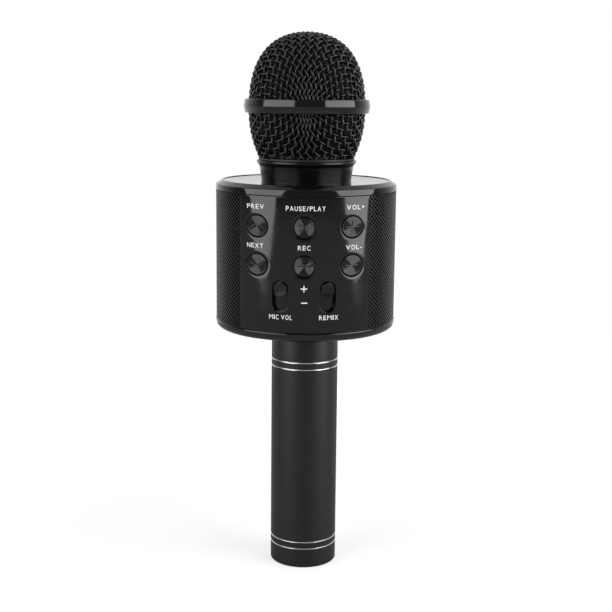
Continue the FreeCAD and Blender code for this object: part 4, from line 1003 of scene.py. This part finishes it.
flat_sheet = run_tree(sheet_tree, tile_mesh, {
    "Columns": columns, "Rows": rows, "Column Pitch": column_pitch * MM,
    "Hole Pitch": hole_pitch * MM, "Material": powder_coat})
for half, name in enumerate(("grille_right", "grille_left")):
    mesh = flat_sheet.copy()
    phase = half * half_width % (2 * column_pitch)      # keeps the columns in step over the joint
    spare = (rows - 0.5) * hole_pitch - panel_height
    cut_sheet(mesh, -phase * MM, -spare / 2 * MM, half_width * MM, panel_height * MM)
    rolled_mesh = run_tree(roll_tree, mesh, {
        "Radius": drum_radius * MM, "Start Angle": grille_start + half * half_width / drum_radius,
        "Material": powder_coat})
    rolled_mesh.transform(Matrix.Translation((0, 0, wall_low * MM)))
    add_mesh(name, rolled_mesh, powder_coat, "housing",
             ["speaker_grille"] if not half else [])
    print(name, "has", sum(len(face.vertices) - 2 for face in rolled_mesh.polygons), "triangles")


# %% [markdown]
# ## Cloth behind the grille
# A black acoustic cloth is stretched round the chassis behind the holes. It keeps dust out and
# makes the holes look dark. It is a thin rolled sheet.

# %% Acoustic cloth
cloth_radius = 40.15
cloth_thickness = 0.3
cloth_steps = 120


def woven(name, colour, thread):
    """A woven cloth; two crossed waves raise its threads, thread is their spacing in mm."""
    material = surface(name, colour, 0.85, ior=1.15)     # loose threads give back little light
    tree, shader, where = wiring(material)
    shader.inputs["Sheen Weight"].default_value = 0.02
    waves = [add_node(tree, "ShaderNodeTexWave",
                      {"Vector": where, "Scale": 1 / (thread * MM) / 2, "Distortion": 0.4},
                      bands_direction=way).outputs["Fac"] for way in ("X", "Z")]
    height = add_node(tree, "ShaderNodeMath", {0: waves[0], 1: waves[1]}, operation="MULTIPLY")
    emboss(tree, shader, height.outputs[0], 0.1, 0.8)
    return material


acoustic_cloth = woven("acoustic_cloth", "#040404", 0.6)
points = []
for radius in (cloth_radius, cloth_radius - cloth_thickness):
    for step in range(cloth_steps + 1):
        angle = grille_start + grille_span * step / cloth_steps
        for z in (low("grille_cloth").z, high("grille_cloth").z):
            points.append((radius * math.cos(angle), radius * math.sin(angle), z))
cloth = add_piece("speaker_cloth", points, strip(cloth_steps + 1), acoustic_cloth, "housing",
                  ["grille_cloth"])


# %% [markdown]
# ## The ring round the head
# A polished ring hides the joint of the two wire shells. Its side slopes slightly both ways from a
# faint ridge at mid height, where the mould parted, and this splits each highlight in two.

# %% Grille ring
ring_low = low("grille_ring").z
ring_high = high("grille_ring").z
ring_radius = radius_of("grille_ring")
ring_drop = 0.6
ring_bore = mesh_radius + 0.05
ring_middle = (ring_low + ring_high) / 2
outline = soften([(ring_bore, ring_low, 0.1), (ring_radius - ring_drop, ring_low, 0.5),
                  (ring_radius, ring_middle, 0.25), (ring_radius - ring_drop, ring_high, 0.5),
                  (ring_bore, ring_high, 0.1)])
points, faces = lathe(outline, steps=256)
add_piece("head_ring", points, faces, polished_abs, "head", ["grille_ring"],
          edge_angle=50)
print("ring from", round(ring_low, 1), "to", round(ring_high, 1), "mm")


# %% [markdown]
# ## Woven wire
# Both shells of the head are pressed from flat woven netting. When netting is pressed, the wires
# keep their spacing along themselves and only the angle between them changes, so the square cells
# turn to diamonds. Such a net is found knot by knot: each new knot lies on the shell, one cell from
# two neighbours. The wires start along two lines that cross at the middle of the shell's end.

# %% A shell's outline and places on it
wire_radius = 0.43
weave_height = 0.42
cell = 2.95


def curve_points(start, first, second, end, parts=60):
    """Points of a cubic Bezier curve."""
    points = []
    for part in range(parts + 1):
        t = part / parts
        points.append(start * (1 - t) ** 3 + first * 3 * t * (1 - t) ** 2
                      + second * 3 * t * t * (1 - t) + end * t ** 3)
    return points


class Shell:
    """A turned surface that gives places by distance from its pole and by angle."""

    def __init__(self, outline):
        self.outline = outline
        self.lengths = [0.0]
        for a, b in zip(outline, outline[1:]):
            self.lengths.append(self.lengths[-1] + (b - a).length)

    def profile(self, away):
        """Radius and height at a distance along the outline."""
        away = abs(away)
        i = min(max(bisect.bisect_right(self.lengths, away) - 1, 0), len(self.outline) - 2)
        part = (away - self.lengths[i]) / (self.lengths[i + 1] - self.lengths[i])
        return self.outline[i].lerp(self.outline[i + 1], part)

    def place(self, away, angle):
        """A point on the surface."""
        spot = self.profile(away)
        return Vector((spot.x * math.cos(angle), spot.x * math.sin(angle), spot.y))

    def normal(self, away, angle):
        """The outward direction at a point of the surface."""
        step = 0.3
        along = self.profile(away + step) - self.profile(max(away - step, 0.0))
        out = Vector((-along.y, along.x)).normalized()
        if self.outline[-1].y > self.outline[0].y:
            out = -out
        return Vector((out.x * math.cos(angle), out.x * math.sin(angle), out.y))


# %% Netting pressed over a shell
def next_knot(shell, left, below, guess):
    """Distance and angle of the knot one cell away from two others, by Newton's method."""
    away, angle = guess
    a, b = shell.place(*left), shell.place(*below)
    for _ in range(25):
        here = shell.place(away, angle)
        miss = Vector(((here - a).length - cell, (here - b).length - cell))
        if miss.length < 1e-6:
            break
        step = 1e-4
        by_away = shell.place(away + step, angle)
        by_angle = shell.place(away, angle + step)
        slope = Matrix((((by_away - a).length - (here - a).length,
                         (by_angle - a).length - (here - a).length),
                        ((by_away - b).length - (here - b).length,
                         (by_angle - b).length - (here - b).length))) * (1 / step)
        if abs(slope.determinant()) < 1e-9:
            return None
        change = slope.inverted() @ miss
        away -= max(-cell, min(cell, change.x))
        angle -= max(-0.5, min(0.5, change.y))
    return (away, angle) if miss.length < 1e-4 else None


def net_quarter(shell, start_angle, reach):
    """Knots of one quarter of the net, counted along both of its starting lines."""
    knots = {(0, 0): (0.0, start_angle)}
    steps = int(reach / cell)
    for i in range(1, steps + 1):
        knots[i, 0] = along_line(shell, i, start_angle)
        knots[0, i] = along_line(shell, i, start_angle + math.pi / 2)
    for i in range(1, steps + 1):
        for j in range(1, steps + 1):
            left, below = knots.get((i - 1, j)), knots.get((i, j - 1))
            before = knots.get((i - 1, j - 1))
            if not left or not below:
                continue
            guess_point = shell.place(*left) + shell.place(*below) - shell.place(*before)
            angle = math.atan2(guess_point.y, guess_point.x)
            away = max(left[0], below[0]) + 0.3 * cell
            knot = next_knot(shell, left, below, (away, angle))
            if knot and knot[0] < shell.lengths[-1]:
                knots[i, j] = knot
    return knots


def along_line(shell, steps, angle):
    """The knot a number of straight cells from the pole, along one meridian."""
    away = 0.0
    for _ in range(steps):
        here = shell.place(away, angle)
        low_end, high_end = away, away + 2 * cell
        for _ in range(40):
            middle = (low_end + high_end) / 2
            if (shell.place(middle, angle) - here).length < cell:
                low_end = middle
            else:
                high_end = middle
        away = low_end
    return (away, angle)


# %% Wires from knots
samples = 5                   # points on a wire from one knot to the next
wire_sides = 7


def whole_net(quarter):
    """A quarter of the net turned three times round the pole."""
    knots = {}
    for (i, j), (away, angle) in quarter.items():
        for turn in range(4):
            knots[i, j] = (away, angle + turn * math.pi / 2)
            i, j = -j, i
    return knots


def wire_runs(knots):
    """The unbroken rows of knots, each as a list of knot numbers."""
    reach = max(abs(i) for i, _ in knots) + 1
    runs = []
    for fixed in range(-reach, reach + 1):
        for swap in (False, True):
            run = []
            for free in range(-reach, reach + 2):
                knot = (fixed, free) if swap else (free, fixed)
                if knot in knots:
                    run.append(knot)
                else:
                    if len(run) > 1:
                        runs.append((run, swap))
                    run = []
    return runs


def weave(shell, knots, lowest, highest):
    """Points and edges of all wires, each waving over and under the wires that it crosses."""
    points, edges = [], []
    for run, swap in wire_runs(knots):
        places = [shell.place(*knots[knot]) for knot in run]
        outs = [shell.normal(*knots[knot]) for knot in run]
        overs = [1 if (sum(knot) + swap) % 2 else -1 for knot in run]
        last = None
        for n in range(len(run) - 1):
            a, b = places[n], places[n + 1]
            before = places[n - 1] if n else a * 2 - b
            after = places[n + 2] if n + 2 < len(run) else b * 2 - a
            for step in range(samples + (n == len(run) - 2)):
                t = step / samples
                spot = 0.5 * ((2 * a) + (b - before) * t + (2 * before - 5 * a + 4 * b - after) * t ** 2
                              + (3 * a - before - 3 * b + after) * t ** 3)
                out = outs[n].lerp(outs[n + 1], t).normalized()
                spot += out * (overs[n] * weave_height * math.cos(math.pi * t))
                if lowest <= spot.z <= highest:
                    points.append(spot)
                    if last is not None:
                        edges.append((last, len(points) - 1))
                    last = len(points) - 1
                else:
                    last = None
    return points, edges


wire_tree, given, result = new_tree("wire_tubes", {
    "Wire Radius": "NodeSocketFloat", "Sides": "NodeSocketInt", "Material": "NodeSocketMaterial"})
line = add_node(wire_tree, "GeometryNodeMeshToCurve", {"Mesh": given["Geometry"]})
ring = add_node(wire_tree, "GeometryNodeCurvePrimitiveCircle",
                {"Resolution": given["Sides"], "Radius": given["Wire Radius"]})
tube = add_node(wire_tree, "GeometryNodeCurveToMesh", {
    "Curve": line.outputs[0], "Profile Curve": ring.outputs[0], "Fill Caps": True})
end_tree(wire_tree, tube, given, result)


def make_netting(name, outline, lowest, highest, node):
    """Net a shell, weave its wires and make them tubes."""
    shell = Shell(outline)
    knots = whole_net(net_quarter(shell, math.pi / 4, shell.lengths[-1]))
    points, edges = weave(shell, knots, lowest, highest)
    lines = bpy.data.meshes.new(name + "_lines")
    lines.from_pydata([p * MM for p in points], edges, [])
    mesh = run_tree(wire_tree, lines, {"Wire Radius": wire_radius * MM,
                                       "Sides": wire_sides, "Material": satin_paint})
    add_mesh(name, mesh, satin_paint, "head", [node], edge_angle=60)
    print(name, "has", len(knots), "knots and",
          sum(len(face.vertices) - 2 for face in mesh.polygons), "triangles")


# %% Dome and bowl
inset = wire_radius + weave_height
dome_height = dome_top - ring_z
shoulder, crown = 0.62, 0.66
dome_line = curve_points(Vector((0, dome_top)), Vector((crown * mesh_radius, dome_top)),
                         Vector((mesh_radius, ring_z + shoulder * dome_height)),
                         Vector((mesh_radius, ring_z)))
bowl_low = low("lower_grille").z
bowl_high = high("lower_grille").z
bowl_base = 21.75
bowl_widest = 212.0
bowl_rows = 30
bowl_floor = bowl_low - 3     # the bowl's net starts flat, below the part of it that is kept
dome_spare = 6                # both nets run on past the shell's end, and the rest is cut off
bowl_spare = 4
arc_radius = ((bowl_widest - bowl_low) ** 2 + (mesh_radius - bowl_base) ** 2) / (
    2 * (mesh_radius - bowl_base))
bowl_side = []
for step in range(bowl_rows + 1):
    rise = (bowl_widest - bowl_low) * step / bowl_rows
    drop = bowl_widest - bowl_low - rise
    bowl_side.append(Vector((mesh_radius - arc_radius + math.sqrt(arc_radius ** 2 - drop ** 2),
                             bowl_low + rise)))


def inset_line(line, amount):
    """An outline moved inwards along its normals, kept off the axis."""
    moved = []
    for i, point in enumerate(line):
        along = (line[min(i + 1, len(line) - 1)] - line[max(i - 1, 0)]).normalized()
        inward = Vector((along.y, -along.x))
        if inward.x > 0:
            inward = -inward
        if abs(inward.x) < 1e-4:
            inward = Vector((0, -1))
        moved.append(Vector((max(0.0, point.x + inward.x * amount), point.y + inward.y * amount)))
    return moved


dome_net = inset_line(dome_line, inset) + [Vector((mesh_radius - inset, ring_z - dome_spare))]
make_netting("dome_netting", dome_net, ring_z, dome_top, "upper_grille")
side = inset_line(bowl_side, inset)
floor_curve = curve_points(Vector((0, bowl_floor)), Vector((side[0].x * 0.6, bowl_floor)),
                           Vector((side[0].x - 0.8, bowl_floor)), side[0], 40)
bowl_net = floor_curve[:-1] + side + [Vector((mesh_radius - inset, bowl_high + bowl_spare))]
make_netting("bowl_netting", bowl_net, bowl_low, bowl_high, "lower_grille")


# %% [markdown]
# ## Foam windscreen
# Open-cell foam lines the head. It stops bursts of breath, and it is what makes the space behind
# the wires look solid and dark. Its pores are a cell pattern in the bump, at their real size.

# %% Foam
def open_foam(name, colour, pore):
    """Open-cell foam; pore is the size of a cell in millimetres."""
    material = surface(name, colour, 0.9, ior=1.45)
    tree, shader, where = wiring(material)
    cells = add_node(tree, "ShaderNodeTexVoronoi", {"Vector": where, "Scale": 1 / (pore * MM)})
    emboss(tree, shader, cells.outputs["Distance"], 0.4 * pore, 0.9)
    return material


black_foam = open_foam("black_foam", "#040404", 0.8)


def copy_of(node, name, material, body, edge_angle=35.0):
    """A smoothed copy of a CAD node's mesh, which stands for the node."""
    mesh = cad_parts[node].data.copy()
    mesh.materials.clear()
    return add_mesh(name, mesh, material, body, [node], edge_angle)


foam = copy_of("foam_windscreen", "foam_liner", black_foam, "head")
straight_down = -0.999        # z of a flat underside's normal, with some play


def looks_down(face):
    """Whether a face is part of a flat underside."""
    return face.normal.z < straight_down


bottom_shell = copy_of("bottom_cover", "bottom_shell", polished_abs, "housing", 25.0)
shape = bmesh.new()
shape.from_mesh(bottom_shell.data)
flat_border = [edge for edge in shape.edges if len(edge.link_faces) == 2
               and looks_down(edge.link_faces[0]) != looks_down(edge.link_faces[1])]
for edge in flat_border:
    edge.smooth = False       # keeps the flat underside flat in its mirror finish
shape.to_mesh(bottom_shell.data)
shape.free()
print("foam and bottom cover made,", len(flat_border), "edges round its flat faces")


# %% [markdown]
# ## Finishes of the other solids
# The rest of the microphone keeps its CAD shape. Every solid still gets the finish of its real
# material, by the slot that the record gives it, because the head lifts off and the underside
# shows its sockets.

# %% Finishes by slot
nickel = surface("bright_nickel", "#cfcdc8", 0.18, metallic=1.0, mottle=(0.4, 0.13, 0.26))
black_oxide = surface("black_oxide_steel", "#2a2a2c", 0.35, metallic=1.0, mottle=(0.3, 0.28, 0.45))
finishes = {
    "gloss_black": polished_abs,
    "key_black": turned_key_abs,
    "grille_steel": powder_coat,
    "mesh_wire": satin_paint,
    "handle_aluminium": blasted_anodised,
    "black_plastic": moulded_black,
    "plated_steel": nickel,
    "screw_steel": black_oxide,
    "ferrite": surface("sintered_ferrite", "#3a3a3d", 0.6, mottle=(0.4, 0.5, 0.7),
                       relief=(0.3, 0.02)),
    "cell_wrap": surface("cell_shrink_wrap", "#2a6aa8", 0.25, mottle=(3.0, 0.2, 0.32)),
    "capsule_plastic": surface("glass_filled_plastic", "#1a1a1b", 0.55, mottle=(0.5, 0.45, 0.65)),
    "paper_cone": surface("pressed_paper", "#262523", 0.85, mottle=(0.6, 0.75, 0.95),
                          relief=(0.5, 0.04)),
    "surround_rubber": surface("butyl_rubber", "#161616", 0.6, mottle=(0.7, 0.5, 0.7)),
    "board_green": surface("solder_mask", "#1f6b3c", 0.3, mottle=(1.5, 0.22, 0.38)),
    "chip_black": surface("moulded_epoxy", "#1b1b1c", 0.55, mottle=(0.2, 0.48, 0.62),
                          relief=(0.1, 0.005)),
    "black_cloth": acoustic_cloth,
    "foam": black_foam,
    "lead_pvc": surface("pvc_sleeve", "#1c1c1c", 0.42, mottle=(0.8, 0.36, 0.5)),
}


def perforated(name, metal, pitch):
    """Thin metal with rows of round holes; pitch is the distance between holes in millimetres."""
    material = surface(name, metal, 0.25, metallic=1.0)
    tree, shader, where = wiring(material)
    cells = add_node(tree, "ShaderNodeTexVoronoi",
                     {"Vector": where, "Scale": 1 / (pitch * MM), "Randomness": 0.0})
    solid = add_node(tree, "ShaderNodeMapRange", {"Value": cells.outputs["Distance"],
                                                  "From Min": 0.3, "From Max": 0.38}).outputs[0]
    shade = add_node(tree, "ShaderNodeMix", {"Factor": solid, "A": linear("#050505"),
                                             "B": linear(metal)}, data_type="RGBA")
    tree.links.new(shade.outputs["Result"], shader.inputs["Base Color"])
    tree.links.new(solid, shader.inputs["Metallic"])
    return material


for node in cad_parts.values():
    slot = node.data.materials[0].name.split(".")[0]
    node.data.materials[0] = finishes[slot]
screen_pitch = 0.9
screen_metal = perforated("perforated_nickel", "#cfcdc8", screen_pitch)
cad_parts["capsule_screen"].data.materials[0] = screen_metal
print(len(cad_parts), "nodes dressed")


# %% [markdown]
# ## Light
# The photograph has two large soft boxes, left and right of the camera, and a white paper sweep
# behind. Gloss black shows only what it mirrors, so the boxes' places were worked out from where the
# drum shows their edges. The world is white straight behind, for every kind of ray, and dim in front
# like a dark studio with a grey floor. The camera's own rays see white all round.

# %% World
world = bpy.data.worlds.new("studio")
bpy.context.scene.world = world
world.use_nodes = True
sky = world.node_tree
sky.nodes.clear()
where = add_node(sky, "ShaderNodeTexCoord").outputs["Generated"]
split = add_node(sky, "ShaderNodeSeparateXYZ", {0: where}).outputs
front = add_node(sky, "ShaderNodeMapRange",
                 {"Value": split["Z"], "From Min": -0.12, "From Max": -0.09,
                  "To Min": 0.42, "To Max": 0.13}, interpolation_type="SMOOTHSTEP").outputs[0]
ramp = add_node(sky, "ShaderNodeMapRange", {"Value": split["Y"], "From Min": 0.15,
                                            "From Max": 0.85, "To Min": front,
                                            "To Max": 1.0}).outputs[0]
camera_ray = add_node(sky, "ShaderNodeLightPath").outputs["Is Camera Ray"]
paper = add_node(sky, "ShaderNodeBackground", {"Color": linear("#ffffff"),
                                               "Strength": maths(sky, "MAXIMUM", ramp, camera_ray)})
add_node(sky, "ShaderNodeOutputWorld", {"Surface": paper.outputs[0]})


# %% Soft boxes
box_distance = 1.0            # metres from the drum, along the floor
box_height = 0.37             # above the drum's middle
drum_middle = Vector((0, 0, 150 * MM))


def soft_box(name, azimuth, radius, radiance):
    """A round area light that faces the drum, azimuth degrees to the right of the front."""
    light = bpy.data.lights.new(name, "AREA")
    light.shape = "DISK"
    light.size = 2 * radius
    light.energy = radiance * math.pi * math.pi * radius ** 2
    box = bpy.data.objects.new(name, light)
    angle = math.radians(azimuth) - math.pi / 2
    away = Vector((math.cos(angle), math.sin(angle), 0)) * box_distance
    away.z = box_height
    turn = (-away).to_track_quat("-Z", "Y").to_matrix().to_4x4()
    box.matrix_world = Matrix.Translation(drum_middle + away) @ turn
    bpy.context.scene.collection.objects.link(box)


soft_box("left_box", azimuth=-54.0, radius=0.61, radiance=3.0)
soft_box("right_box", azimuth=67.0, radius=0.61, radiance=3.8)


# %% [markdown]
# ## Floor
# The microphone stands on a disc of pale paper that takes its soft shadow. Camera rays see a glow as
# well, weak near the microphone, where the shadow must show, and full further out, where the paper
# should look as white as the world. From below the paper is clear, so that the underside can be
# seen. The disc is part of the stage, not of the object.

# %% Floor
floor_radius = 0.5            # metres
floor_gap = 0.0001            # metres below the microphone's foot
floor_mesh = bpy.data.meshes.new("floor")
shape = bmesh.new()
bmesh.ops.create_circle(shape, cap_ends=True, segments=96, radius=floor_radius,
                        matrix=Matrix.Translation((0, 0, -floor_gap)))
shape.to_mesh(floor_mesh)
shape.free()
pale_paper = surface("pale_paper", "#b0b0b0", 0.9, ior=1.45, mottle=(2.0, 0.85, 0.95))
paper_tree, paper_shader, spot = wiring(pale_paper)
away = add_node(paper_tree, "ShaderNodeVectorMath", {0: spot}, operation="LENGTH").outputs["Value"]
haze = add_node(paper_tree, "ShaderNodeMapRange", {"Value": away, "From Min": 0.12, "From Max": 0.45,
                                                   "To Min": 0.62, "To Max": 1.0}).outputs[0]
seen = add_node(paper_tree, "ShaderNodeLightPath").outputs["Is Camera Ray"]
paper_shader.inputs["Emission Color"].default_value = linear("#ffffff")
paper_tree.links.new(maths(paper_tree, "MULTIPLY", seen, haze),
                     paper_shader.inputs["Emission Strength"])
under = add_node(paper_tree, "ShaderNodeNewGeometry").outputs["Backfacing"]
one_way = add_node(paper_tree, "ShaderNodeMixShader", {
    0: under, 1: paper_shader.outputs[0],
    2: add_node(paper_tree, "ShaderNodeBsdfTransparent").outputs[0]})
paper_tree.links.new(one_way.outputs[0], paper_tree.nodes["Material Output"].inputs["Surface"])
floor_mesh.materials.append(pale_paper)
floor = bpy.data.objects.new("floor", floor_mesh)
bpy.context.scene.collection.objects.link(floor)
